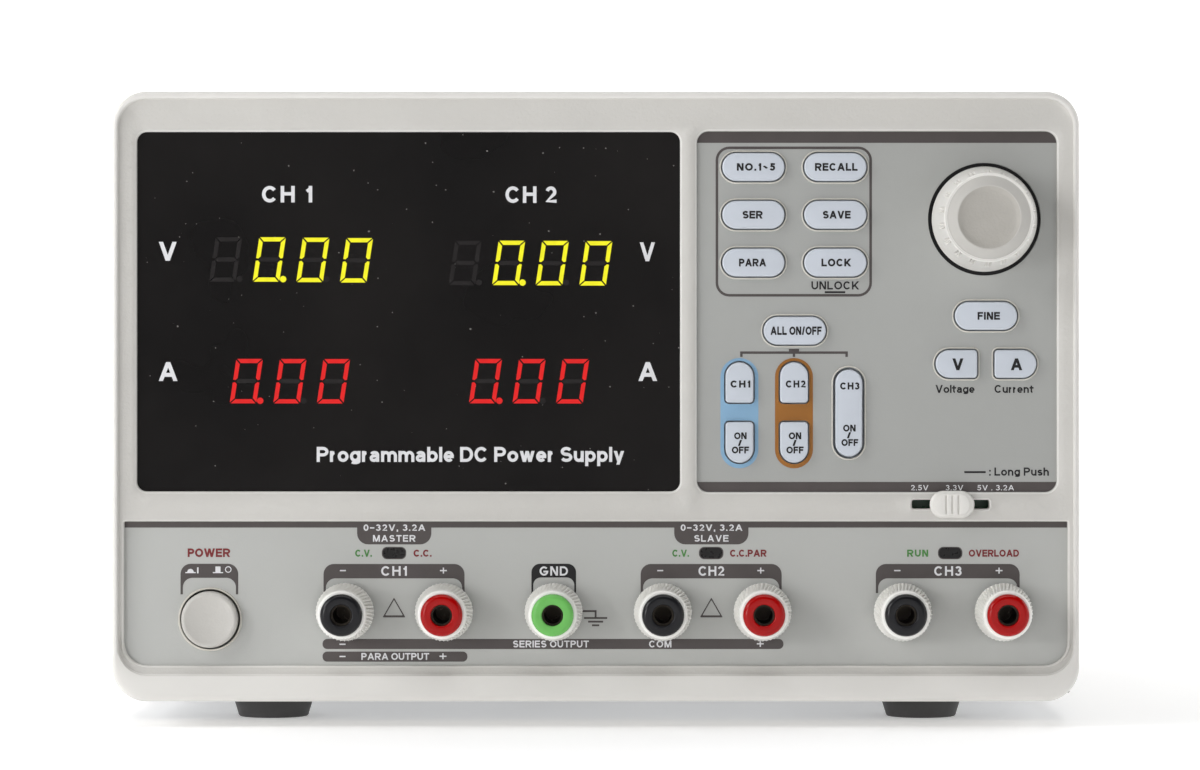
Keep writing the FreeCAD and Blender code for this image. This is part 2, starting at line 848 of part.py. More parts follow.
def binding_posts():
    """Seven brass posts, each with a flange on the panel and a 4 mm socket bore."""
    body = new_body("binding_posts")
    places = list(POST_PLACES.values())
    flange_front = "panel_front - post_flange_thick"
    pad(body, "XZ", [circle(x, "post_level", "post_radius") for x in places], "post_front",
        "post_back")
    pad(body, "XZ", [circle(x, "post_level", "post_flange") for x in places], flange_front,
        "panel_front")
    pad(body, "XZ", [circle(x, "post_level", "post_hole") for x in places], "panel_front",
        PANEL_BACK)
    cut(body, "XZ", [circle(x, "post_level", "post_bore") for x in places], "post_front",
        "post_front + post_bore_depth")


def post_nuts():
    """A hexagon nut behind the panel on every post."""
    body = new_body("post_nuts")
    sketch = new_sketch(body, "XZ", f"-({PANEL_BACK})")
    for across in POST_PLACES.values():
        corners = []
        for step in range(6):
            angle = 60 * step
            corners.append((f"{across} + 2 / sqrt(3) * nut_half * cos({angle}deg)",
                            f"post_level + 2 / sqrt(3) * nut_half * sin({angle}deg)"))
        draw_polygon(sketch, corners)
        draw_outline(sketch, circle(across, "post_level", "post_radius"))
    feature = body.newObject("PartDesign::Pad", "post_nuts_pad")
    feature.Profile = sketch
    feature.Reversed = True
    drive(feature, Length="nut_thick")


def post_collar(name, across):
    """The knurled collar of one post, which tapers towards the front."""
    body = new_body(f"collar_{name}")
    turned(body, [
        ("collar_bore", "collar_back"),
        ("collar_wide", "collar_back"),
        ("collar_wide", "collar_back - collar_band"),
        ("collar_narrow", "collar_front"),
        ("collar_bore", "collar_front"),
    ])
    on_axis(body, across, "post_level")


def post_insert(name, across):
    """The coloured insert of one post: threaded sleeve and front ring with the socket mouth."""
    body = new_body(f"insert_{name}")
    turned(body, [
        ("insert_bore", "collar_back"),
        ("insert_sleeve", "collar_back"),
        ("insert_sleeve", "insert_ring_back"),
        ("insert_ring", "insert_ring_back"),
        ("insert_ring", "front_reach + insert_edge_depth"),
        ("insert_ring - insert_edge", "front_reach"),
        ("insert_mouth + insert_mouth_edge", "front_reach"),
        ("insert_mouth", "front_reach + insert_mouth_edge"),
        ("insert_mouth", "front_reach + insert_mouth_depth"),
        ("insert_bore", "front_reach + insert_mouth_depth"),
    ])
    on_axis(body, across, "post_level")


# ---------------------------------------------------------------- front board and display
def front_board():
    """The board behind the panels, with its key switches, range switch and indicator lamps."""
    body = new_body("front_board")
    plate = rounded_box("-board_half", "board_bottom", "board_half", "board_top", "board_round")
    pad(body, "XZ", [plate], "board_front", "board_front + board_thick")
    switches = []
    plungers = []
    for _, _, places in key_list():
        switches += [centred_box(x, z, "tact_half", "tact_half") for x, z in places]
        plungers += [circle(x, z, "tact_plunger_radius") for x, z in places]
    pad(body, "XZ", switches, "tact_front", "board_front")
    pad(body, "XZ", plungers, "tact_plunger_front", "tact_front")
    range_switch = centred_box("slider_centre", "slider_level", "range_switch_half",
                               "range_switch_half_height")
    pad(body, "XZ", [range_switch], "slider_stem_end + stem_gap", "board_front")
    lamps = [centred_box(x, "lens_level", "lamp_half", "lamp_half_height")
             for x in ("lens_one", "lens_two", "lens_three")]
    pad(body, "XZ", lamps, f"{PANEL_BACK} + lamp_gap", "board_front")


def digit_modules():
    """Four seven-segment modules of four digits each."""
    body = new_body("digit_modules")
    blocks = []
    for left, level in (("module_left_volts", "volts_level"), ("module_left_amps", "amps_level"),
                        ("module_right_volts", "volts_level"), ("module_right_amps", "amps_level")):
        blocks.append(rounded_box(left, f"{level} - module_height / 2", f"{left} + module_width",
                                  f"{level} + module_height / 2", "sharp_round"))
    pad(body, "XZ", blocks, "module_front", "board_front")


# ---------------------------------------------------------------- metal case
SHEET_HALF = "case_width / 2 - cover_inset - sheet_metal - sheet_gap"


def side_screw_outlines():
    """Where the side screws go, as (Y, Z) circles of the shank's size."""
    return [circle(place, "side_screw_level", "screw_radius")
            for place in ("side_screw_front", "side_screw_rear")]


def chassis():
    """The steel tray: floor, two side flanges and a front flange."""
    body = new_body("chassis")
    tray = rounded_box(f"-({SHEET_HALF})", TRAY_BOTTOM, SHEET_HALF,
                       f"{TRAY_BOTTOM} + flange_height", "sharp_round")
    hollow = rounded_box(f"-({SHEET_HALF}) + chassis_metal", TRAY_FLOOR,
                         f"{SHEET_HALF} - chassis_metal", f"{TRAY_FLOOR} + flange_height",
                         "sharp_round")
    pad(body, "XZ", [tray], TRAY_FRONT, "rear_panel_front")
    cut(body, "XZ", [hollow], TRAY_FRONT, "rear_panel_front")
    flange = rounded_box("-front_flange_half", TRAY_BOTTOM, "front_flange_half",
                         "front_flange_top", "sharp_round")
    pad(body, "XZ", [flange], TRAY_FRONT, f"{TRAY_FRONT} + chassis_metal")
    screws = [circle(x, "screw_low", "screw_radius") for x in ("-screw_across", "screw_across")]
    cut(body, "XZ", screws, TRAY_FRONT, f"{TRAY_FRONT} + chassis_metal")
    cut(body, "YZ", side_screw_outlines(), "-case_width / 2", "case_width / 2")


def cover():
    """The sheet-metal cover, open below, with vents in both sides and in the top."""
    body = new_body("cover")
    half = "case_width / 2 - cover_inset"
    low = "foot_height + cover_gap"
    top = f"{CASE_TOP} - cover_inset"
    outer = [
        (f"-({half}) + sharp_round", f"{low} + sharp_round", "sharp_round"),
        (f"{half} - sharp_round", f"{low} + sharp_round", "sharp_round"),
        (f"{half} - cover_round", f"{top} - cover_round", "cover_round"),
        (f"-({half}) + cover_round", f"{top} - cover_round", "cover_round"),
    ]
    inner_round = "cover_round - sheet_metal"
    inner = [
        (f"-({half}) + sheet_metal + sharp_round", "0", "sharp_round"),
        (f"{half} - sheet_metal - sharp_round", "0", "sharp_round"),
        (f"{half} - cover_round", f"{top} - cover_round", inner_round),
        (f"-({half}) + cover_round", f"{top} - cover_round", inner_round),
    ]
    front = "bezel_back + cover_front_gap"
    pad(body, "XZ", [outer], front, "rear_panel_back")
    cut(body, "XZ", [inner], front, "rear_panel_back")
    cut(body, "YZ", side_screw_outlines(), "-case_width / 2", "case_width / 2")
    side_vents = []
    top_vents = []
    for place in range(int(SIZES["vent_count"])):
        rise = f"vent_level + ({place} - (vent_count - 1) / 2) * vent_pitch"
        for middle in ("vent_front", "vent_rear"):
            side_vents.append([(f"{middle} - vent_length / 2", rise, "vent_half"),
                               (f"{middle} + vent_length / 2", rise, "vent_half")])
        along = f"top_vent_front + {place} * vent_pitch"
        for middle in ("-top_vent_across", "top_vent_across"):
            top_vents.append([(f"{middle} - vent_length / 2", along, "vent_half"),
                              (f"{middle} + vent_length / 2", along, "vent_half")])
    cut(body, "YZ", side_vents, "-case_width / 2", "case_width / 2")
    cut(body, "XY", top_vents, f"{top} - cover_round", CASE_TOP)


def rear_panel():
    """The steel back, with openings for the fan, the mains inlet and the data socket."""
    body = new_body("rear_panel")
    high = f"{CASE_TOP} - cover_inset - sheet_metal - sheet_gap"
    corner = "cover_round - sheet_metal"
    plate = [
        (f"-({SHEET_HALF}) + sharp_round", f"{TRAY_BOTTOM} + sharp_round", "sharp_round"),
        (f"{SHEET_HALF} - sharp_round", f"{TRAY_BOTTOM} + sharp_round", "sharp_round"),
        (f"{SHEET_HALF} - ({corner})", f"{high} - ({corner})", corner),
        (f"-({SHEET_HALF}) + ({corner})", f"{high} - ({corner})", corner),
    ]
    pad(body, "XZ", [plate], "rear_panel_front", "rear_panel_back")
    openings = [circle("fan_centre", "fan_level", "fan_duct")]
    openings += [circle(x, z, "fan_screw_hole") for x, z in fan_screw_places()]
    openings.append(centred_box("inlet_centre", "inlet_level", "inlet_body_half",
                                "inlet_body_half_height", "inlet_round"))
    openings.append(centred_box("usb_centre", "usb_level", "usb_half", "usb_half_height"))
    cut(body, "XZ", openings, "rear_panel_front", "rear_panel_back")


def feet():
    """Four round rubber feet that taper downwards."""
    body = new_body("feet")
    places = [(x, y) for x in ("-foot_across", "foot_across") for y in ("foot_front", "foot_rear")]
    rings = [circle(x, y, "foot_bottom_radius") for x, y in places]
    feature = pad(body, "XY", rings, "0", TRAY_BOTTOM)
    drive(feature, TaperAngle="atan((foot_top_radius - foot_bottom_radius) / foot_height)")


def case_screws():
    """The screws of the cover, of the front moulding and of the fan guard."""
    body = new_body("case_screws")
    head = "screw_head"
    side = "case_width / 2 - cover_inset"
    shanks = side_screw_outlines()
    heads = [circle(place, "side_screw_level", head)
             for place in ("side_screw_front", "side_screw_rear")]
    pad(body, "YZ", shanks, f"{side} - side_screw_length", side)
    pad(body, "YZ", heads, side, "case_width / 2")
    pad(body, "YZ", shanks, f"-({side})", f"-({side}) + side_screw_length")
    pad(body, "YZ", heads, "-case_width / 2", f"-({side})")
    front = f"{TRAY_FRONT} + chassis_metal"
    places = ("-screw_across", "screw_across")
    pad(body, "XZ", [circle(x, "screw_low", "screw_radius") for x in places],
        "bezel_back - screw_length", front)
    pad(body, "XZ", [circle(x, "screw_low", head) for x in places], front,
        f"{front} + screw_head_thick")
    fan = fan_screw_places()
    eye_back = "rear_panel_back + eye_thick"
    pad(body, "XZ", [circle(x, z, "screw_radius") for x, z in fan],
        "fan_back - fan_screw_depth", eye_back)
    pad(body, "XZ", [circle(x, z, head) for x, z in fan], eye_back,
        f"{eye_back} + fan_screw_head")


# ---------------------------------------------------------------- inside
def transformer_core():
    """The laminated core: two windows round a centre leg."""
    body = new_body("transformer_core")
    outline = rounded_box("core_left", "core_bottom", "core_right", "core_top", "sharp_round")
    pad(body, "XZ", [outline], "core_front", "core_back")
    middle = "(core_left + core_right) / 2"
    windows = [
        rounded_box("core_left + core_yoke", "core_bottom + core_yoke",
                    f"{middle} - core_leg_half", "core_top - core_yoke", "sharp_round"),
        rounded_box(f"{middle} + core_leg_half", "core_bottom + core_yoke",
                    "core_right - core_yoke", "core_top - core_yoke", "sharp_round"),
    ]
    cut(body, "XZ", windows, "core_front", "core_back")


def transformer_windings():
    """The coil on the centre leg."""
    body = new_body("transformer_windings")
    middle = "(core_left + core_right) / 2"
    half = "(core_right - core_left) / 2 - core_yoke - winding_clear"
    outer = rounded_box(f"{middle} - ({half})", "core_front - winding_reach",
                        f"{middle} + ({half})", "core_back + winding_reach", "winding_round")
    leg = rounded_box(f"{middle} - core_leg_half - winding_clear", "core_front - winding_clear",
                      f"{middle} + core_leg_half + winding_clear", "core_back + winding_clear",
                      "sharp_round")
    low = "core_bottom + core_yoke + winding_clear"
    high = "core_top - core_yoke - winding_clear"
    pad(body, "XY", [outer], low, high)
    cut(body, "XY", [leg], low, high)


def main_board():
    """The regulator board on four standoffs."""
    body = new_body("main_board")
    plate = rounded_box("main_left", "main_front", "main_right", "main_back", "board_round")
    standoffs = [circle(x, y, "standoff_radius")
                 for x in ("main_left + standoff_inset", "main_right - standoff_inset")
                 for y in ("main_front + standoff_inset", "main_back - standoff_inset")]
    pad(body, "XY", [plate], "main_level", "main_level + board_thick")
    pad(body, "XY", standoffs, TRAY_FLOOR, "main_level")


def filter_capacitors():
    """Four large smoothing capacitors, upright on the board."""
    body = new_body("filter_capacitors")
    places = [(f"capacitor_left + {i} * capacitor_pitch", f"capacitor_front + {j} * capacitor_pitch")
              for i in range(2) for j in range(2)]
    low = "main_level + board_thick"
    cans = [circle(x, y, "capacitor_radius") for x, y in places]
    pad(body, "XY", cans, low, f"{low} + capacitor_height")


def heat_sink():
    """An extruded heat sink: an upright base and level fins in the fan's stream."""
    body = new_body("heat_sink")
    base = rounded_box("sink_left", "main_level + board_thick", "sink_left + sink_base",
                       "sink_top", "sharp_round")
    pad(body, "XZ", [base], "sink_front", "sink_back")
    fins = []
    for place in range(int(SIZES["fin_count"])):
        level = f"fin_low + {place} * fin_pitch"
        fins.append(rounded_box("sink_left + sink_base - fin_root", level, "sink_right",
                                f"{level} + fin_thick", "sharp_round"))
    pad(body, "XZ", fins, "sink_front", "sink_back")


# ---------------------------------------------------------------- rear fittings
def fan_screw_places():
    """The four corners of the fan's screw pattern."""
    return [(f"fan_centre + {i} * fan_screw", f"fan_level + {j} * fan_screw")
            for i in (-1, 1) for j in (-1, 1)]


def fan_frame():
    """The fan's square frame with its round duct, four struts and the motor plate."""
    body = new_body("fan_frame")
    outline = centred_box("fan_centre", "fan_level", "fan_half", "fan_half", "fan_round")
    pad(body, "XZ", [outline], "fan_front", "fan_back")
    duct = circle("fan_centre", "fan_level", "fan_duct")
    screws = [circle(x, z, "screw_radius") for x, z in fan_screw_places()]
    cut(body, "XZ", [duct] + screws, "fan_front", "fan_back")
    plate_front = "fan_back - hub_plate"
    pad(body, "XZ", [circle("fan_centre", "fan_level", "fan_hub")], plate_front, "fan_back")
    strut_reach = "fan_duct + strut_root"
    level_strut = centred_box("fan_centre", "fan_level", strut_reach, "strut_half")
    upright_strut = centred_box("fan_centre", "fan_level", "strut_half", strut_reach)
    pad(body, "XZ", [level_strut], plate_front, "fan_back")
    pad(body, "XZ", [upright_strut], plate_front, "fan_back")
    bearing = circle("fan_centre", "fan_level", "pin_radius + pin_clear")
    cut(body, "XZ", [bearing], plate_front, "fan_back")


def fan_rotor():
    """The rotor: hub, bearing pin and seven pitched blades, about its own Y axis."""
    hub = number_of("fan_hub")
    front = number_of("rotor_front")
    back = number_of("rotor_back")
    depth = back - front
    along = FreeCAD.Vector(0, 1, 0)
    shape = Part.makeCylinder(hub, depth, FreeCAD.Vector(0, front, 0), along)
    pin_length = number_of("fan_back") - back
    shape = shape.fuse(Part.makeCylinder(number_of("pin_radius"), pin_length,
                                         FreeCAD.Vector(0, back, 0), along))
    half_turn = math.radians(number_of("blade_turn")) / 2
    half_thick = number_of("blade_thick") / 2
    root = hub - number_of("blade_root")
    reach = number_of("blade_tip") - root
    chord = (depth - number_of("blade_margin")) / math.cos(half_turn * 2) / 2
    blade = Part.makeBox(reach, 2 * chord, 2 * half_thick,
                         FreeCAD.Vector(root, -chord, -half_thick))
    blade.rotate(FreeCAD.Vector(0, 0, 0), FreeCAD.Vector(1, 0, 0), math.degrees(half_turn) * 2)
    blade.translate(FreeCAD.Vector(0, (front + back) / 2, 0))
    ring = Part.makeCylinder(number_of("blade_tip"), depth, FreeCAD.Vector(0, front, 0), along)
    blade = blade.common(ring)
    count = int(SIZES["blade_count"])
    for step in range(count):
        copy = blade.copy()
        copy.rotate(FreeCAD.Vector(0, 0, 0), along, 360 * step / count)
        shape = shape.fuse(copy)
    rotor = document.addObject("Part::Feature", "fan_rotor")
    rotor.Label = "fan_rotor"
    rotor.Shape = shape.removeSplitter()
    rotor.Placement = FreeCAD.Placement()
    on_axis(rotor, "fan_centre", "fan_level")
    parts.append(rotor)


def fan_guard():
    """The wire guard: four rings on two crossed spokes, with an eye at each screw."""
    body = new_body("fan_guard")
    rings = []
    for place in range(int(SIZES["guard_ring_count"])):
        middle = f"guard_ring_one + {place} * guard_ring_pitch"
        rings.append(circle("fan_centre", "fan_level", f"{middle} + guard_wire"))
        rings.append(circle("fan_centre", "fan_level", f"{middle} - guard_wire"))
    pad(body, "XZ", rings, "rear_reach - 2 * guard_wire", "rear_reach")
    for side in (-1, 1):
        reach = "(fan_screw - guard_spoke_gap)"
        spoke = [(f"fan_centre - {reach}", f"fan_level - {side} * {reach}", "guard_wire"),
                 (f"fan_centre + {reach}", f"fan_level + {side} * {reach}", "guard_wire")]
        pad(body, "XZ", [spoke], "guard_spoke_front", "rear_reach - guard_wire")
    eyes = [circle(x, z, "guard_eye") for x, z in fan_screw_places()]
    holes = [circle(x, z, "screw_radius") for x, z in fan_screw_places()]
    pad(body, "XZ", eyes + holes, "rear_panel_back", "rear_panel_back + eye_thick")


def mains_inlet():
    """The appliance inlet with its three pins and the shaft of the fuse drawer."""
    body = new_body("mains_inlet")
    flange = centred_box("inlet_centre", "inlet_level", "inlet_half", "inlet_half_height",
                         "inlet_round")
    housing = centred_box("inlet_centre", "inlet_level", "inlet_body_half",
                          "inlet_body_half_height", "inlet_round")
    pad(body, "XZ", [housing], "inlet_body_front", "rear_panel_back")
    pad(body, "XZ", [flange], "rear_panel_back", "inlet_flange_back")
    socket_level = "inlet_level + socket_offset"
    socket = centred_box("inlet_centre", socket_level, "socket_half", "socket_half_height",
                         "inlet_round")
    socket_floor = "inlet_flange_back - socket_depth"
    cut(body, "XZ", [socket], socket_floor, "inlet_flange_back")
    drawer = centred_box("inlet_centre", "inlet_level + drawer_offset",
                         "drawer_half + drawer_clear", "drawer_half_height + drawer_clear",
                         "drawer_round + drawer_clear")
    cut(body, "XZ", [drawer], "drawer_front - drawer_end_gap", "inlet_flange_back")
    pins = [centred_box("inlet_centre - pin_pitch", f"{socket_level} + pin_row", "pin_half",
                        "pin_half_height"),
            centred_box("inlet_centre + pin_pitch", f"{socket_level} + pin_row", "pin_half",
                        "pin_half_height"),
            centred_box("inlet_centre", f"{socket_level} + pin_earth", "pin_half",
                        "pin_half_height")]
    pad(body, "XZ", pins, socket_floor, f"{socket_floor} + pin_length")


def fuse_drawer():
    """The drawer that holds the mains fuse, with a pull lip."""
    body = new_body("fuse_drawer")
    level = "inlet_level + drawer_offset"
    block = centred_box("inlet_centre", level, "drawer_half", "drawer_half_height", "drawer_round")
    pad(body, "XZ", [block], "drawer_front", "drawer_back")
    fuse_space = centred_box("inlet_centre", level, "drawer_half - drawer_wall",
                             "drawer_half_height - drawer_floor", "drawer_round")
    cut(body, "XZ", [fuse_space], "drawer_front", "drawer_back - drawer_face")
    pull = centred_box("inlet_centre", f"{level} - drawer_half_height + pull_rise", "pull_half",
                       "pull_half_height", "pull_round")
    cut(body, "XZ", [pull], "drawer_back - pull_depth", "drawer_back")


def usb_socket():
    """The data socket: a metal shell round a tongue."""
    body = new_body("usb_socket")
    shell = centred_box("usb_centre", "usb_level", "usb_half", "usb_half_height")
    hollow = centred_box("usb_centre", "usb_level", "usb_half - usb_wall",
                         "usb_half_height - usb_wall")
    tongue = centred_box("usb_centre", "usb_level", "usb_tongue_half", "usb_tongue_half_height")
    pad(body, "XZ", [shell], "usb_front", "usb_back")
    cut(body, "XZ", [hollow], "usb_floor", "usb_back")
    pad(body, "XZ", [tongue], "usb_floor", "usb_tongue_end")


# ---------------------------------------------------------------- the whole supply
front_bezel()
display_window()
control_panel()
terminal_panel()
indicator_lenses()
for name, outline, places in key_list():
    key(name, outline, places)
encoder_knob()
encoder_shaft()
encoder()
range_slider()
power_button()
power_switch()
binding_posts()
post_nuts()
for name, across in POST_PLACES.items():
    post_collar(name, across)
    post_insert(name, across)
front_board()
digit_modules()
chassis()
cover()
rear_panel()
feet()
case_screws()
transformer_core()
transformer_windings()
main_board()
filter_capacitors()
heat_sink()
fan_frame()
fan_rotor()
fan_guard()
mains_inlet()
fuse_drawer()
usb_socket()
document.recompute()

# ---------------------------------------------------------------- checks and files
for item in document.Objects:
    if "Invalid" in item.State or "Error" in item.State:
        raise RuntimeError(f"{item.Name} failed: {item.State}")
    if item.isDerivedFrom("PartDesign::Pocket"):
        before = item.BaseFeature.Shape.Volume
        if item.Shape.Volume > before - 1e-3:
            raise RuntimeError(f"{item.Name} cuts nothing")
labels = [item.Label for item in parts]
if len(set(labels)) != len(labels):
    raise RuntimeError("two sub-parts share a label")
for item in parts:
    if item.Shape.isNull() or not item.Shape.isValid() or not item.Shape.Solids:
        raise RuntimeError(f"{item.Label} has no sound shape")

os.makedirs("parts", exist_ok=True)
for item in parts:
    item.Shape.exportStep(os.path.join("parts", item.Label + ".step"))
print(len(parts), "sub-parts written")
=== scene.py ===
"""Looks of the three-channel bench power supply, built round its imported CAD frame.

Lengths in the tables below are millimetres, and MM turns them into Blender's metres.
X is to the right, Y to the back and Z up. The front panels face -Y.
"""

import json
import math

import bmesh
import bpy
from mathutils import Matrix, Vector
from mathutils.geometry import delaunay_2d_cdt

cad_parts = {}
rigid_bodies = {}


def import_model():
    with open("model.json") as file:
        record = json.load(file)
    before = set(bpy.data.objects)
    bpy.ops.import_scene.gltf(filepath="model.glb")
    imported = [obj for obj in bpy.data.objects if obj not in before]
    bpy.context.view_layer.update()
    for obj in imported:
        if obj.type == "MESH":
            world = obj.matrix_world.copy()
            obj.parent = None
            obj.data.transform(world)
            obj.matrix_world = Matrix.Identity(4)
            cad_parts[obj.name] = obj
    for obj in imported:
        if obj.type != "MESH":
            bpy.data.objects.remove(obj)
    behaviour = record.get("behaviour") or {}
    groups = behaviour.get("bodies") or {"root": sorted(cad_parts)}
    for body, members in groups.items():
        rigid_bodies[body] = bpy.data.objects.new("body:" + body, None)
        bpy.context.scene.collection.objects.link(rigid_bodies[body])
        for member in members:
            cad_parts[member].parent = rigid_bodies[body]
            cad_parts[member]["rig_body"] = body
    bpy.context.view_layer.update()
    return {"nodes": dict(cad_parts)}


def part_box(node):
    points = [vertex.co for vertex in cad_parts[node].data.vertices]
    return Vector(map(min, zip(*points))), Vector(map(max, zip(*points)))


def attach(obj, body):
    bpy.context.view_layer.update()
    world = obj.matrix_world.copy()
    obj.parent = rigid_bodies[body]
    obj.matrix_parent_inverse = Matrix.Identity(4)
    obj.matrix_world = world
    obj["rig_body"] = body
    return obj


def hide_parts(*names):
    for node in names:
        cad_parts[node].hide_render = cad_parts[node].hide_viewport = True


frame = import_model()
MM = 0.001
ROOT = "case"


# ---- materials
class Finish:
    """A material with a Principled shader, built up from linked nodes."""

    def __init__(self, name, **levels):
        """Start a material; levels are the shader's own sockets, spaces as underscores."""
        self.made = bpy.data.materials.new(name)
        self.made.use_nodes = True
        self.shader = self.made.node_tree.nodes["Principled BSDF"]
        for socket, level in levels.items():
            self.shader.inputs[socket.replace("_", " ")].default_value = level

    def node(self, kind, **inputs):
        """A node, with each of its inputs linked to an output or set to a value."""
        node = self.made.node_tree.nodes.new("ShaderNode" + kind)
        if kind == "Mix":
            node.data_type = "RGBA"
        for name, value in inputs.items():
            self.put(value, node.inputs[name.replace("_", " ")])
        return node

    def put(self, value, socket):
        """Link an output to a socket, or set the socket to a value."""
        if isinstance(value, bpy.types.NodeSocket):
            self.made.node_tree.links.new(value, socket)
        else:
            socket.default_value = value

    def noise(self, scale, detail=2.0, stretch=(1, 1, 1)):
        """A noise texture in object coordinates, with a scale in ripples per metre."""
        place = self.node("TexCoord").outputs["Object"]
        mapping = self.node("Mapping", Scale=stretch, Vector=place)
        texture = self.node("TexNoise", Scale=scale, Detail=detail,
                            Vector=mapping.outputs["Vector"])
        return texture.outputs["Fac"]

    def remap(self, value, low, high, from_low=0.3, from_high=0.7):
        """A value stretched between two limits."""
        return self.node("MapRange", From_Min=from_low, From_Max=from_high, To_Min=low,
                         To_Max=high, Value=value).outputs["Result"]

    def blend(self, factor, first, second):
        """Two colours mixed by a value."""
        return self.node("Mix", Factor=factor, A=first if hasattr(first, "node") else (*first, 1),
                         B=(*second, 1)).outputs["Result"]

    def shade(self, socket, value):
        """Give the shader's socket a linked value."""
        self.put(value, self.shader.inputs[socket])


def shade(colour, amount):
    """A colour made lighter or darker."""
    return tuple(min(1.0, c * amount) for c in colour)


def surface(name, colour, roughness=0.5, mottle=0.04, mottle_scale=60, grain=0.0, grain_scale=1500,
            metallic=0.0, spread=0.06, stretch=(1, 1, 1), specular=0.5):
    """A moulded, painted or metal surface: mottled colour, uneven roughness and a fine bump."""
    finish = Finish(name, Metallic=metallic, Specular_IOR_Level=specular)
    patches = finish.remap(finish.noise(mottle_scale, 4.0, stretch), 0.0, 1.0)
    finish.shade("Base Color",
                 finish.blend(patches, shade(colour, 1 - mottle), shade(colour, 1 + mottle)))
    wear = finish.noise(mottle_scale * 3, 3.0, stretch)
    finish.shade("Roughness",
                 finish.remap(wear, max(0.02, roughness - spread), roughness + spread))
    if grain:
        pits = finish.noise(grain_scale, 2.0, stretch)
        bump = finish.node("Bump", Strength=grain, Distance=0.1 * MM, Height=pits)
        finish.shade("Normal", bump.outputs["Normal"])
    return finish.made


def acrylic(name):
    """Glossy black acrylic with sparse specks of dust."""
    finish = Finish(name, Specular_IOR_Level=0.165)
    place = finish.node("TexCoord").outputs["Object"]
    specks = finish.node("TexVoronoi", Scale=480, Randomness=1.0, Vector=place)
    rare = finish.remap(finish.noise(900, 1.0), 0.0, 0.12, 0.50, 0.72)
    near = finish.node("Math")
    near.operation = "LESS_THAN"
    finish.put(specks.outputs["Distance"], near.inputs[0])
    finish.put(rare, near.inputs[1])
    haze = finish.remap(finish.noise(22, 3.0), 0.0, 1.0)
    black = finish.blend(haze, (0.0045, 0.0038, 0.0038), (0.011, 0.0095, 0.009))
    finish.shade("Base Color", finish.blend(near.outputs["Value"], black, (0.22, 0.21, 0.20)))
    finish.shade("Roughness", finish.remap(finish.noise(150, 3.0), 0.10, 0.17))
    return finish.made


def lit(name, colour, strength):
    """A lit segment, a little uneven along its length."""
    finish = Finish(name, Specular_IOR_Level=0.3, Emission_Strength=strength, Roughness=0.4)
    factor = finish.remap(finish.noise(500, 1.0), 0.0, 1.0)
    finish.shade("Emission Color", finish.blend(factor, shade(colour, 0.9), colour))
    finish.shade("Base Color", finish.blend(factor, shade(colour, 0.03), shade(colour, 0.05)))
    return finish.made


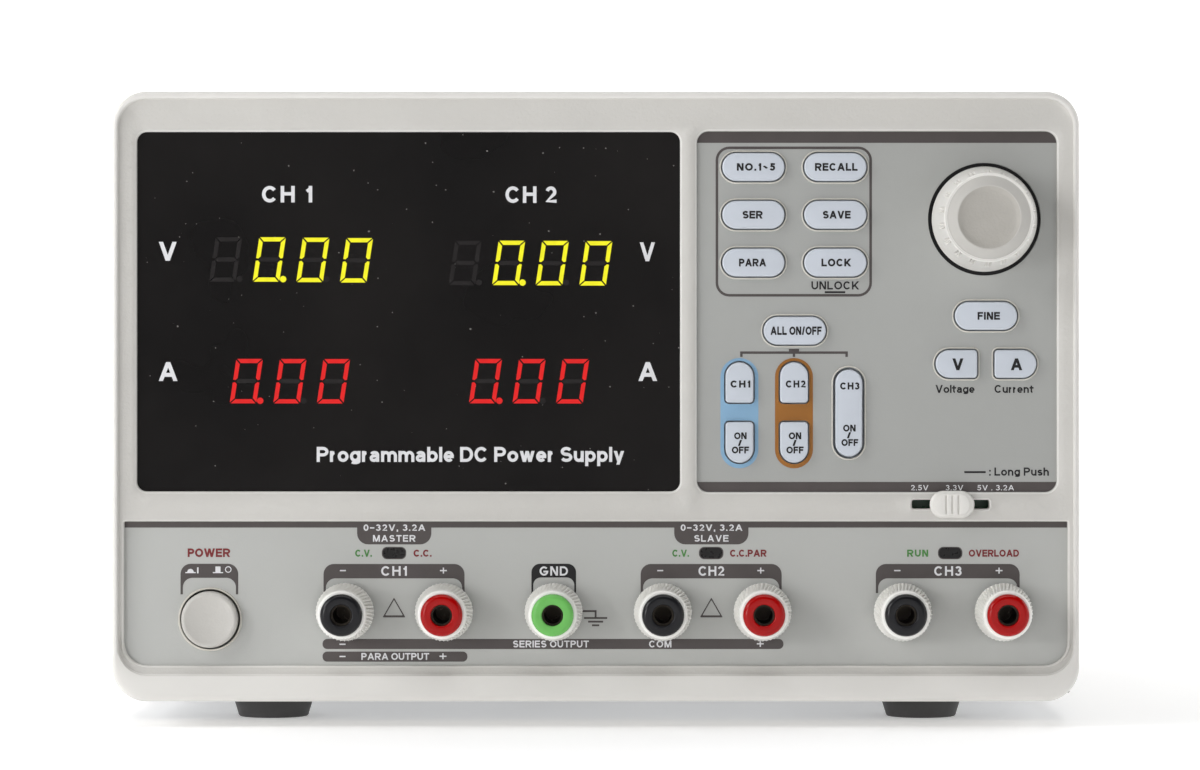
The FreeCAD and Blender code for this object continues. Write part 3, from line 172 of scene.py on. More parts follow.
# Colour, roughness, mottling and its scale, then the grain's depth and its scale.
FINISHES = {
    "moulding": ((0.61, 0.595, 0.565), 0.55, 0.025, 45, 0.9, 1250),
    # A lighter, smoother copy of the moulding for the rim and the chamfers round the openings:
    # painted highlight along those edges.
    "smooth_moulding": ((0.75, 0.735, 0.705), 0.45, 0.02, 45, 0.12, 1250),
    # The control and terminal panels share one paint: the terminal panel's copy is lighter as
    # painted light, the control panel's a little darker as painted shade.
    "panel": ((0.392, 0.397, 0.383), 0.42, 0.015, 30, 0.16, 2400),
    "lower_panel": ((0.480, 0.485, 0.467), 0.42, 0.015, 30, 0.16, 2400),
    "button": ((0.545, 0.53, 0.50), 0.5, 0.03, 110, 0.4, 1600),
    # A light beige for the lips round the key openings and the power button's hole: a painted
    # highlight on their edges.
    "lip": ((0.62, 0.60, 0.54), 0.4, 0.03, 80, 0.1),
    "key": ((0.585, 0.625, 0.69), 0.40, 0.02, 90, 0.08, 2600),
    "white_plastic": ((0.79, 0.775, 0.74), 0.42, 0.03, 110, 0.22, 1700),
    "collar_plastic": ((0.92, 0.91, 0.875), 0.38, 0.03, 150, 0.12),
    # A darker grainy grey for the knob's dish: its own coarse texture, with painted shade in its
    # colour.
    "knob_face": ((0.45, 0.43, 0.395), 0.55, 0.04, 130, 0.9, 1300),
    "ink_dark": ((0.072, 0.060, 0.058), 0.45, 0.06, 160, 0.1, 2400),
    "ink_black": ((0.013, 0.012, 0.013), 0.5, 0.1, 300, 0.1),
    "ink_white": ((0.74, 0.74, 0.76), 0.5, 0.04, 300, 0.1),
    "ink_red": ((0.19, 0.012, 0.015), 0.5, 0.06, 300, 0.1),
    "ink_green": ((0.06, 0.23, 0.045), 0.5, 0.06, 300, 0.1),
    "ink_blue": ((0.24, 0.42, 0.60), 0.42, 0.03, 100, 0.12),
    "ink_orange": ((0.33, 0.125, 0.012), 0.42, 0.04, 100, 0.12),
    "ghost": ((0.013, 0.011, 0.011), 0.2, 0.1, 200, 0.05),
    "red_plastic": ((0.38, 0.002, 0.002), 0.16, 0.04, 200, 0.03),
    "black_plastic": ((0.012, 0.012, 0.014), 0.17, 0.1, 200, 0.03),
    "green_plastic": ((0.16, 0.50, 0.115), 0.18, 0.05, 200, 0.03),
    "lens": ((0.010, 0.009, 0.009), 0.3, 0.02, 400, 0.05),
    # The posts' brass is nearly black: painted shade for the dark inside of the socket mouths.
    "brass": ((0.030, 0.024, 0.018), 0.32, 0.08, 300, 0.15),
    "zinc": ((0.60, 0.61, 0.62), 0.34, 0.10, 70, 0.2, 400),
    "screw_steel": ((0.55, 0.55, 0.56), 0.30, 0.10, 400, 0.2),
    "painted_sheet": ((0.47, 0.455, 0.43), 0.55, 0.02, 40, 0.6, 1100),
    "foot": ((0.060, 0.058, 0.058), 0.55, 0.12, 150, 0.45, 1400),
    "dark_moulding": ((0.022, 0.022, 0.024), 0.42, 0.12, 120, 0.35, 1500),
    "board": ((0.015, 0.11, 0.04), 0.32, 0.15, 90, 0.1),
    "lamination": ((0.13, 0.13, 0.14), 0.45, 0.15, 60, 0.8, 900),
    "winding": ((0.50, 0.36, 0.08), 0.35, 0.08, 60, 0.5, 300),
    "sleeve": ((0.02, 0.03, 0.075), 0.28, 0.08, 60, 0.08),
    "anodised": ((0.03, 0.03, 0.032), 0.42, 0.10, 60, 0.25, 700),
}
GLOSSY = dict(specular=0.25, spread=0.04)
OTHER_LOOKS = {
    "ink_black": dict(specular=0.3), "ghost": dict(specular=0.3), "lens": dict(specular=0.3),
    "red_plastic": GLOSSY, "black_plastic": GLOSSY, "green_plastic": GLOSSY,
    "brass": dict(metallic=0.8), "screw_steel": dict(metallic=1.0),
    "zinc": dict(metallic=1.0, stretch=(1, 0.15, 1)),
    "lamination": dict(metallic=0.7, stretch=(0.05, 1, 0.05)),
    "winding": dict(stretch=(0.1, 0.1, 1)),
    "anodised": dict(metallic=0.6, stretch=(1, 0.1, 1)),
}
MATERIALS = {name: surface(name, *look, **OTHER_LOOKS.get(name, {}))
             for name, look in FINISHES.items()}
MATERIALS["acrylic"] = acrylic("acrylic")
MATERIALS["glow_yellow"] = lit("glow_yellow", (0.95, 0.90, 0.015), 1.0)
MATERIALS["glow_red"] = lit("glow_red", (0.86, 0.010, 0.010), 0.9)


# ---- mesh helpers
def clean(mesh, thin=False):
    """Join doubled points, drop thin faces if asked, and turn every face outwards."""
    tidy = bmesh.new()
    tidy.from_mesh(mesh)
    bmesh.ops.remove_doubles(tidy, verts=tidy.verts, dist=1e-7)
    if thin:
        bmesh.ops.dissolve_degenerate(tidy, edges=tidy.edges, dist=1e-7)
    bmesh.ops.recalc_face_normals(tidy, faces=tidy.faces)
    tidy.to_mesh(mesh)
    tidy.free()


def show(name, data):
    """A new object in the scene."""
    made = bpy.data.objects.new(name, data)
    bpy.context.scene.collection.objects.link(made)
    return made


def add_mesh(name, points, faces, finish, smooth=True, body=ROOT):
    """A mesh object in metres, with its finish, riding on a CAD body."""
    mesh = bpy.data.meshes.new(name)
    mesh.from_pydata(points, [], faces)
    mesh.materials.append(MATERIALS[finish])
    made = show(name, mesh)
    clean(mesh)
    if smooth:
        soften(made)
    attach(made, body)
    return made


def soften(made, angle=38):
    """Smooth shading with edges sharper than the angle kept."""
    made.data.shade_smooth()
    made.data.set_sharp_from_angle(angle=math.radians(angle))


def bow(centre_x, centre_z, half, half_height, first, last, steps=12):
    """Points of an elliptical arc, angles in degrees."""
    angles = [math.radians(first + (last - first) * i / steps) for i in range(steps + 1)]
    return [(centre_x + half * math.cos(a), centre_z + half_height * math.sin(a)) for a in angles]


def corner_arc(centre_x, centre_z, radius, first, last, steps=8):
    """Points of a round arc, in the panel's plane or in a turned profile of (radius, level)."""
    return bow(centre_x, centre_z, radius, radius, first, last, steps)


def rounded(left, low, right, high, radii, steps=8):
    """A rounded rectangle, counterclockwise from its lower left. radii is one number or four."""
    r = radii if isinstance(radii, tuple) else (radii,) * 4
    return (corner_arc(left + r[0], low + r[0], r[0], 180, 270, steps)
            + corner_arc(right - r[1], low + r[1], r[1], 270, 360, steps)
            + corner_arc(right - r[2], high - r[2], r[2], 0, 90, steps)
            + corner_arc(left + r[3], high - r[3], r[3], 90, 180, steps))


def about(x, z, half, half_height, radii, steps=8):
    """A rounded rectangle about its centre."""
    return rounded(x - half, z - half_height, x + half, z + half_height, radii, steps)


def ring(x, z, radius, steps=64):
    """A circle in the panel's plane."""
    return corner_arc(x, z, radius, 0, 360 * (steps - 1) / steps, steps - 1)


def plate(name, outlines, front, back, finish, bevel=0.0, body=ROOT, bevel_steps=2):
    """A flat piece parallel to the panels: each group of outlines is an outer edge and its holes.

    It is filled as a curve, which rounds every front edge by the bevel.
    """
    curve = bpy.data.curves.new(name, "CURVE")
    curve.dimensions = "2D"
    curve.fill_mode = "BOTH"
    curve.extrude = max(0.0005, (back - front) / 2 - bevel) * MM
    curve.bevel_depth = bevel * MM
    curve.bevel_resolution = bevel_steps
    curve.offset = -bevel * MM
    for outline in outlines:
        spline = curve.splines.new("POLY")
        spline.points.add(len(outline) - 1)
        for point, (x, z) in zip(spline.points, outline):
            point.co = (x * MM, z * MM, 0, 1)
        spline.use_cyclic_u = True
    mesh = mesh_of(show(name, curve))
    middle = (front + back) / 2 * MM
    for vertex in mesh.vertices:
        x, z, depth = vertex.co
        vertex.co = (x, middle - depth, z)
    clean(mesh, thin=True)
    mesh.materials.clear()
    mesh.materials.append(MATERIALS[finish])
    made = show(name, mesh)
    soften(made)
    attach(made, body)
    return made


def mesh_of(holder):
    """The mesh of a curve object, which is then removed."""
    bpy.context.view_layer.update()
    evaluated = holder.evaluated_get(bpy.context.evaluated_depsgraph_get())
    mesh = bpy.data.meshes.new_from_object(evaluated)
    curve = holder.data
    bpy.data.objects.remove(holder)
    bpy.data.curves.remove(curve)
    return mesh


def joined(name, made):
    """Several pieces on one body as one piece."""
    body = made[0]["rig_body"]
    bpy.ops.object.select_all(action="DESELECT")
    for piece in made:
        piece.select_set(True)
    bpy.context.view_layer.objects.active = made[0]
    if len(made) > 1:
        bpy.ops.object.join()
    made[0].name = name
    made[0].data.name = name
    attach(made[0], body)
    return made[0]


def stand_in(made, node):
    """Hide a CAD node that a piece stands in for."""
    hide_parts(node)


def turned(name, profile, x, z, finish, body=ROOT, steps=96, closed=True, radius_at=None,
           upright=False):
    """A turned piece: profile is (radius, level), radius_at may vary the radius by angle.

    Its axis runs along Y through x and z, or for an upright piece along Z through x and y.
    """
    points = []
    faces = []
    count = len(profile)
    for step in range(steps):
        angle = 2 * math.pi * step / steps
        for radius, level in profile:
            if radius_at:
                radius = radius_at(radius, level, angle)
            across = z + radius * math.sin(angle)
            far = (across, level) if upright else (level, across)
            points.append(tuple(n * MM for n in (x + radius * math.cos(angle), *far)))
    for step in range(steps):
        near, far = step * count, (step + 1) % steps * count
        for i in range(count if closed else count - 1):
            j = (i + 1) % count
            faces.append((near + i, near + j, far + j, far + i))
    return add_mesh(name, points, faces, finish, body=body)


# ---- lettering
LOWER = 0.73                   # height of a small letter, in capitals
DEEP = 0.28                    # how far a tail hangs below the line
OVAL = bow(0.5, 0.5, 0.5, 0.5, 0, 360, 28)
STEM = [(0, 0), (0, 1)]
FAR_STEM = [(1, 0), (1, 1)]
BOWL = [(0, 1), (0.5, 1)] + bow(0.55, 0.73, 0.45, 0.27, 90, -90) + [(0, 0.46)]
CURL = bow(0.5, 0.75, 0.46, 0.25, 25, 270) + bow(0.5, 0.26, 0.5, 0.26, 90, -155)
ARCH = bow(0.5, 0.55, 0.5, 0.45, 180, 0) + [(1, 0)]
# Width in capitals, then strokes in the box of their middle lines. A stroke of two points that
# leans is cut level at both ends.
ZIGZAG = [[(0, 1), (0.26, 0)], [(0.26, 0), (0.5, 1)], [(0.5, 1), (0.74, 0)], [(0.74, 0), (1, 1)]]
CAPITALS = {
    "A": (0.98, [[(0, 0), (0.5, 1)], [(0.5, 1), (1, 0)], [(0.2, 0.28), (0.8, 0.28)]]),
    "C": (0.90, [bow(0.5, 0.5, 0.5, 0.5, 38, 322, 24)]),
    "D": (0.86, [STEM, [(0, 1), (0.3, 1)] + bow(0.45, 0.5, 0.55, 0.5, 90, -90, 18) + [(0, 0)]]),
    "E": (0.76, [STEM, [(0, 1), (1, 1)], [(0, 0.53), (0.92, 0.53)], [(0, 0), (1, 0)]]),
    "F": (0.70, [STEM, [(0, 1), (1, 1)], [(0, 0.5), (0.86, 0.5)]]),
    "G": (0.94, [bow(0.5, 0.5, 0.5, 0.5, 42, 330, 24) + [(0.96, 0.42), (0.55, 0.42)]]),
    "H": (0.82, [STEM, FAR_STEM, [(0, 0.53), (1, 0.53)]]),
    "I": (0.0, [STEM]),
    "K": (0.88, [STEM, [(0.04, 0.30), (0.98, 1)], [(0.32, 0.55), (1, 0)]]),
    "L": (0.70, [[(0, 1), (0, 0), (1, 0)]]),
    "M": (1.0, [STEM, FAR_STEM, [(0.03, 1), (0.5, 0)], [(0.5, 0), (0.97, 1)]]),
    "N": (0.82, [STEM, FAR_STEM, [(0.03, 1), (0.97, 0)]]),
    "O": (0.96, [OVAL]),
    "P": (0.78, [STEM, BOWL]),
    "R": (0.86, [STEM, BOWL, [(0.52, 0.46), (0.98, 0)]]),
    "S": (0.80, [CURL]),
    "T": (0.80, [[(0, 1), (1, 1)], [(0.5, 1), (0.5, 0)]]),
    "U": (0.82, [[(0, 1)] + bow(0.5, 0.4, 0.5, 0.4, 180, 360) + [(1, 1)]]),
    "V": (0.92, [[(0, 1), (0.5, 0)], [(0.5, 0), (1, 1)]]),
    "W": (1.32, ZIGZAG),
    "0": (0.68, [OVAL]),
    "1": (0.42, [[(1, 0), (1, 1)], [(1, 0.96), (0.62, 0.83), (0, 0.72)]]),
    "2": (0.68, [bow(0.5, 0.7, 0.48, 0.3, 165, -32) + [(0.03, 0.0), (1, 0)]]),
    "3": (0.68, [bow(0.48, 0.77, 0.44, 0.23, 160, -90), bow(0.48, 0.27, 0.5, 0.27, 90, -165)]),
    "5": (0.68, [[(0.92, 1), (0.2, 1), (0.08, 0.5)] + bow(0.47, 0.32, 0.51, 0.32, 138, -160)]),
    "+": (0.66, [[(0, 0.45), (1, 0.45)], [(0.5, 0.19), (0.5, 0.71)]]),
    "-": (0.60, [[(0, 0.45), (1, 0.45)]]),
    "~": (0.66, [[(i / 12, 0.46 + 0.1 * math.sin(math.pi * i / 6)) for i in range(13)]]),
    "/": (0.50, [[(0, 0), (1, 1)]]),
    ".": (0.0, [[(0, 0), (0, 0.02)]]),
    ",": (0.0, [[(0, -0.18), (0, 0.02)]]),
    ":": (0.0, [[(0, 0), (0, 0.02)], [(0, 0.62), (0, 0.64)]]),
    " ": (0.22, []),
}
SMALL = {
    "a": (0.66, [bow(0.48, 0.7, 0.46, 0.3, 160, 0) + [(0.94, 0)],
                 [(0.94, 0.58), (0.4, 0.56)] + bow(0.36, 0.28, 0.36, 0.28, 90, 270)
                 + [(0.5, 0), (0.94, 0.2)]]),
    "b": (0.70, [[(0, 0), (0, "top")], OVAL]),
    "e": (0.68, [[(0.02, 0.48), (0.98, 0.48)], bow(0.5, 0.5, 0.5, 0.5, 0, 318, 22)]),
    "g": (0.70, [OVAL, [(1, 1), (1, 0)] + bow(0.5, -0.1, 0.5, 0.19, 0, -150)]),
    "h": (0.66, [[(0, 0), (0, "top")], ARCH]),
    "l": (0.0, [[(0, 0), (0, "top")]]),
    "m": (1.06, [STEM, [(x * 0.5, z) for x, z in ARCH], [(0.5 + x * 0.5, z) for x, z in ARCH]]),
    "n": (0.66, [STEM, ARCH]),
    "o": (0.72, [OVAL]),
    "p": (0.70, [[(0, "tail"), (0, 1)], OVAL]),
    "r": (0.42, [STEM, bow(1.0, 0.4, 1.0, 0.58, 180, 95)]),
    "s": (0.62, [CURL]),
    "t": (0.48, [[(0.35, 1.35)] + bow(0.80, 0.22, 0.45, 0.22, 180, 275), [(-0.1, 1), (1.0, 1)]]),
    "u": (0.66, [[(1 - x, 1 - z) for x, z in ARCH], FAR_STEM]),
    "w": (1.0, ZIGZAG),
    "y": (0.70, [[(0, 1), (0.5, 0)], [(1, 1), (0.36, "tail")]]),
}


def strip_of(points, weight):
    """Left and right edges of a stroke, mitred at its bends. A level or upright end is longer
    by half the weight."""
    edges = []
    points = list(points)
    closed = math.dist(points[0], points[-1]) < 1e-6
    for end, beside in ((0, 1), (-1, -2)):
        (x, z), (ax, az) = points[end], points[beside]
        if not closed and min(abs(x - ax), abs(z - az)) < 1e-9:
            far = weight / 2 / math.dist(points[end], points[beside])
            points[end] = (x + (x - ax) * far, z + (z - az) * far)
    last = len(points) - 1
    for i, (x, z) in enumerate(points):
        before = points[i - 1] if i else (points[last - 1] if closed else points[0])
        after = points[i + 1] if i < last else (points[1] if closed else points[last])
        ways = []
        for (ax, az), (bx, bz) in ((before, (x, z)), ((x, z), after)):
            length = math.hypot(bx - ax, bz - az)
            if length > 1e-9:
                ways.append((-(bz - az) / length, (bx - ax) / length))
        nx = sum(way[0] for way in ways) / len(ways)
        nz = sum(way[1] for way in ways) / len(ways)
        size = max(0.35, nx * nx + nz * nz)
        reach = weight / 2 / size
        edges.append(((x + nx * reach, z + nz * reach), (x - nx * reach, z - nz * reach)))
    return edges


def glyph(letter, weight):
    """Width and strips of one letter, in capitals."""
    small = letter in SMALL
    width, strokes = (SMALL if small else CAPITALS)[letter]
    height = LOWER if small else 1.0
    half = weight / 2
    width = max(width, weight)
    named = {"top": 1.0 - half, "tail": -DEEP + half}
    strips = []
    for stroke in strokes:
        ends = stroke[0], stroke[-1]
        leaning = len(stroke) == 2 and ends[0][0] != ends[1][0] and ends[0][1] != ends[1][1]
        inset = weight * 0.55 if leaning else half
        placed = []
        for x, z in stroke:
            if z in named:
                level = named[z]
            elif leaning:
                level = z * height
            else:
                level = half + z * (height - weight)
            placed.append((inset + x * (width - 2 * inset), level))
        if leaning:
            (ax, az), (bx, bz) = placed
            reach = half * math.hypot(bx - ax, bz - az) / abs(bz - az)
            strips.append([((x - reach, z), (x + reach, z)) for x, z in placed])
        else:
            strips.append(strip_of(placed, weight))
    return width, strips


def lettering(text, x, z, cap, width, finish, surface_y, body, weight):
    """Words whose capitals are cap high, spaced to a width, centred at x and z."""
    glyphs = [glyph(letter, weight) for letter in text]
    natural = sum(wide for wide, _ in glyphs)
    gap = (width / cap - natural) / max(1, len(text) - 1)
    squeeze = 1.0
    if len(text) > 1 and not 0.09 <= gap <= 0.19:
        gap = min(0.19, max(0.09, gap))
        squeeze = width / cap / (natural + gap * (len(text) - 1))
    if len(text) == 1:
        squeeze = width / cap / natural
    points = []
    faces = []
    start = -width / cap / squeeze / 2
    for wide, strips in glyphs:
        for layer, strip in enumerate(strips):
            base = len(points)
            for pair in strip:
                for depth in (0.036 + 0.004 * layer, 0.001):
                    for px, pz in pair:
                        points.append(((x + (start + px) * squeeze * cap) * MM,
                                       (surface_y - depth) * MM, (z + (pz - 0.5) * cap) * MM))
            for i in range(len(strip) - 1):
                a = base + 4 * i
                b = a + 4
                faces += [(a, a + 1, b + 1, b), (a + 2, b + 2, b + 3, a + 3),
                          (a, b, b + 2, a + 2), (a + 1, a + 3, b + 3, b + 1)]
            if math.dist(strip[0][0], strip[-1][0]) > 1e-6:
                end = base + 4 * (len(strip) - 1)
                faces += [(base, base + 2, base + 3, base + 1), (end, end + 1, end + 3, end + 2)]
        start += wide + gap
    return add_mesh("words_" + finish, points, faces, finish, smooth=False, body=body)


def write_words(name, rows, finish, surface_y, body=ROOT, weight=0.19):
    """Several words as one piece: rows of (text, x, z, cap height, width)."""
    return joined(name, [lettering(*row, finish, surface_y, body, weight) for row in rows])


# ---- what the frame gives
def in_mm(node):
    """Left, low, right and high of a node's box, in millimetres."""
    low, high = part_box(node)
    return low[0] / MM, low[2] / MM, high[0] / MM, high[2] / MM


def depths(node):
    """Y of a node's front and of its back, in millimetres."""
    low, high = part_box(node)
    return low[1] / MM, high[1] / MM


DISPLAY = in_mm("display_window")
CONTROL = in_mm("control_panel")
TERMINAL = in_mm("terminal_panel")
CASE = in_mm("front_bezel")
PANEL, _ = depths("control_panel")
BEZEL_FRONT, BEZEL_BACK = depths("front_bezel")
KEY_FRONT, _ = depths("key_fine")
DISPLAY_ROUND = 2.3
CONTROL_ROUND = 2.7
TERMINAL_ROUND = 5.5


def centre_of(node):
    """Middle of a node's box in the panel's plane, in millimetres."""
    left, low, right, high = in_mm(node)
    return (left + right) / 2, (low + high) / 2


# ---- front moulding
def window_outline(box, radii, extra=0.0):
    """The outline of an opening, larger by extra all round."""
    left, low, right, high = box
    grown = tuple(max(0.2, r + extra) for r in radii)
    return rounded(left - extra, low - extra, right + extra, high + extra, grown)


def pairs(loop):
    """Each item of a closed loop with the item after it."""
    return list(zip(loop, loop[1:] + loop[:1]))


def denser(outline, gap=3.0, like=None):
    """The outline with extra points on its long runs, as many as on those of like."""
    found = []
    for ((x, z), (next_x, next_z)), model in zip(pairs(outline), pairs(like or outline)):
        parts = max(1, int(math.dist(*model) / gap))
        for step in range(parts):
            t = step / parts
            found.append((x + (next_x - x) * t, z + (next_z - z) * t))
    return found


RIM = (1.5, 1.5, 6.5, 1.85)          # inset of the face: left, right, bottom, top
RIM_DEPTH = 1.10                     # from the rim down to the top of the cove
FACE = BEZEL_FRONT + 1.75            # the flat part of the face
COVE = 7.0                           # width of the curve between rim and flat face
CASE_ROUND = 8.0                     # corner radius of the moulding seen from the front
CASE_STEPS = 12                      # steps of each corner
REST = PANEL + 2.0                   # the shelf behind a panel
SLOT_LIP = 0.28                      # how far the lip of the slider's slot stands out


def case_loop(side, top, bottom, corner):
    """The case's outline, pulled in by side, top and bottom insets."""
    left, low, right, high = CASE
    whole = rounded(left, low, right, high, CASE_ROUND, CASE_STEPS)
    inset = rounded(left + side, low + bottom, right - side, high - top, corner, CASE_STEPS)
    return denser(inset, 4.0, whole)


def rim_distance(x, z):
    """How far a point of the face lies inside the rim."""
    left, _, right, high = CASE
    return max(0.0, min(x - left - RIM[0], right - RIM[1] - x, high - RIM[3] - z))


def face_level(x, z):
    """Y of the face, which curves forward in a cove towards the rim."""
    t = min(1.0, rim_distance(x, z) / COVE)
    return FACE - (FACE - BEZEL_FRONT - RIM_DEPTH) * (1 - t) ** 2.2


def front_bezel():
    """The moulding: lofted side and rim, a coved face with chamfered openings, and its back."""
    points = []
    faces = []

    def add_loop(outline, level):
        """Add a loop of points at a level, which may be a function of x and z."""
        start = len(points)
        for x, z in outline:
            y = level(x, z) if callable(level) else level
            points.append((x * MM, y * MM, z * MM))
        return list(range(start, len(points)))

    def loft(first, second):
        """Faces between two loops of the same length."""
        for (a, b), (d, c) in zip(pairs(first), pairs(second)):
            faces.append((a, b, c, d))

    # side inset, top inset, bottom inset, corner radius and depth behind the front
    rim_steps = [
        (0.0, 0.0, 0.0, CASE_ROUND, BEZEL_BACK - BEZEL_FRONT), (0.0, 0.0, 0.0, CASE_ROUND, 2.2),
        (0.06, 0.06, 0.15, 7.95, 1.2), (0.22, 0.22, 0.6, 7.8, 0.55), (0.48, 0.5, 1.4, 7.6, 0.16),
        (0.80, 0.9, 2.6, 7.3, 0.0), (1.15, 1.35, 5.0, 7.0, 0.03), (1.38, 1.7, 6.1, 6.7, 0.22),
        (1.5, 1.85, 6.5, 6.5, RIM_DEPTH),
    ]
    loops = [add_loop(case_loop(*insets), BEZEL_FRONT + depth) for *insets, depth in rim_steps]
    for first, second in zip(loops, loops[1:]):
        loft(first, second)
    # Faces that get the lighter moulding as a painted highlight: the rim here, the chamfers of the
    # openings below.
    highlight_faces = set(range(len(loops[0]), len(faces)))
    ledge_top = TERMINAL[1] - CASE[1]
    ledge = add_loop(case_loop(1.85, 2.2, ledge_top - 0.6, 6.2), lambda x, z: max(
        face_level(x, z), FACE - 0.1 if z < TERMINAL[1] + 8 else -math.inf))
    loft(loops[-1], ledge)

    _, slider_z = centre_of("range_slider")
    slot_box = (73.53, slider_z - 1.05, 91.62, slider_z + 1.05)
    # box, corner radii, chamfer and width of the shelf that the panel rests on
    openings = [
        (DISPLAY, (DISPLAY_ROUND,) * 4, 0.45, 1.5),
        (CONTROL, (CONTROL_ROUND,) * 4, 0.40, 1.5),
        (TERMINAL, (TERMINAL_ROUND, TERMINAL_ROUND, 0.4, 0.4), 0.40, 1.5),
        (slot_box, (0.5,) * 4, 0.75, 0.0),
    ]
    front_edges = [ledge]
    back_edges = []
    wall_back = BEZEL_BACK - 18.4
    for box, radii, chamfer, shelf in openings:
        plain = window_outline(box, radii)
        outer = denser(window_outline(box, radii, chamfer), like=plain)
        inner = denser(plain)
        first = add_loop(outer, face_level)
        front_edges.append(first)
        if not shelf:
            middle = [((a + c) / 2, (b + d) / 2) for (a, b), (c, d) in zip(outer, inner)]
            crest = add_loop(middle, lambda x, z: face_level(x, z) - SLOT_LIP)
            loft(first, crest)
            first = crest
        drop = chamfer if shelf else 0.05
        second = add_loop(inner, lambda x, z: face_level(x, z) + drop)
        before = len(faces)
        loft(first, second)
        highlight_faces.update(range(before, len(faces)))
        bottom = add_loop(inner, REST)
        loft(second, bottom)
        if shelf:
            inner = denser(window_outline(box, radii, -shelf), like=plain)
            rest = add_loop(inner, REST)
            loft(bottom, rest)
            bottom = rest
        last = add_loop(inner, wall_back)
        loft(bottom, last)
        back_edges.append(last)

    inside = case_loop(2.5, 2.5, 2.5, 5.5)
    rear_inner = add_loop(inside, BEZEL_BACK)
    deep_inner = add_loop(inside, wall_back)
    loft(rear_inner, deep_inner)
    loft(loops[0], rear_inner)
    fill_between(points, faces, [deep_inner] + back_edges, [])

    left, low, right, high = CASE
    extra = []
    for distance in (0.7, 1.6, 2.8, 4.2, 6.0):
        extra += denser(rounded(left + RIM[0] + distance, low + RIM[2] + distance,
                                right - RIM[1] - distance, high - RIM[3] - distance, 4.0), 2.5)
    boxes = [opening[0] for opening in openings]
    margin = 0.9
    extra = [(x, z) for x, z in extra if z > TERMINAL[3] + 1.2 and not any(
        box[0] - margin < x < box[2] + margin and box[1] - margin < z < box[3] + margin
        for box in boxes)]
    fill_between(points, faces, front_edges, extra)
    made = add_mesh("bezel_shell", points, faces, "moulding")
    # The rim and the chamfers of the openings take the lighter moulding, a painted highlight on
    # those edges.
    made.data.materials.append(MATERIALS["smooth_moulding"])
    for index in highlight_faces:
        made.data.polygons[index].material_index = 1
    soften(made, 50)
    stand_in(made, "front_bezel")


def fill_between(points, faces, edges, extra):
    """Triangulate a flat ring of loops, with extra points of the face inside it."""
    flat = []
    back = []
    rings = []
    for loop in edges:
        start = len(flat)
        for index in loop:
            flat.append(Vector((points[index][0] / MM, points[index][2] / MM)))
            back.append(index)
        rings.append(list(range(start, len(flat))))
    for x, z in extra:
        flat.append(Vector((x, z)))
        back.append(len(points))
        points.append((x * MM, face_level(x, z) * MM, z * MM))
    borders = [pair for r in rings for pair in pairs(r)]
    verts, _, found, origins, _, _ = delaunay_2d_cdt(flat, borders, [], 0, 1e-5)

    def inside(spot, loop):
        """Whether a spot is inside a loop, by crossings."""
        crossing = False
        for i, j in pairs(loop):
            a, b = flat[i], flat[j]
            if (a.y > spot.y) != (b.y > spot.y) and (
                    spot.x < (b.x - a.x) * (spot.y - a.y) / (b.y - a.y) + a.x):
                crossing = not crossing
        return crossing

    for triangle in found:
        centre = sum((verts[i] for i in triangle), Vector((0, 0))) / len(triangle)
        if inside(centre, rings[0]) and not any(inside(centre, r) for r in rings[1:]):
            faces.append(tuple(back[origins[i][0]] for i in triangle))


# ---- printed panels
TOP_BAND = 2.7
LOW_BAND = 2.4
EDGE = 0.08                    # how far print stops from a panel's edge
LEG_END = 31.2                 # level where the legs of most arches end
ARCH_TOP = 37.99
LENS_ROW = 40.53
TERMINAL_BAND = 1.47
INK = 0.03                     # thickness of a printed layer
GAP = 0.002                    # air between a printed layer and its panel


def print_layer(name, outlines, finish, surface_y=PANEL):
    """A printed area, a hair above the panel."""
    return plate(name, outlines, surface_y - INK, surface_y - GAP, finish)


def arch(x, half, top, strip, leg_end, corner=2.4, inner_corner=2.2, leg=0.55):
    """A printed bar with rounded upper corners and a thin leg down each side."""
    left, right = x - half, x + half
    low = top - strip
    outline = [(left, leg_end), (left + leg, leg_end)]
    outline += corner_arc(left + leg + inner_corner, low - inner_corner, inner_corner, 180, 90)
    outline += corner_arc(right - leg - inner_corner, low - inner_corner, inner_corner, 90, 0)
    outline += [(right - leg, leg_end), (right, leg_end)]
    outline += corner_arc(right - corner, top - corner, corner, 0, 90)
    outline += corner_arc(left + corner, top - corner, corner, 90, 180)
    return outline


def tab(x):
    """A printed tab that hangs from the terminal panel's dark band."""
    half, low, high, corner = 8.65, 42.54, TERMINAL[3] - TERMINAL_BAND, 2.6
    return rounded(x - half, low, x + half, high, (corner, corner, 0.05, 0.05))


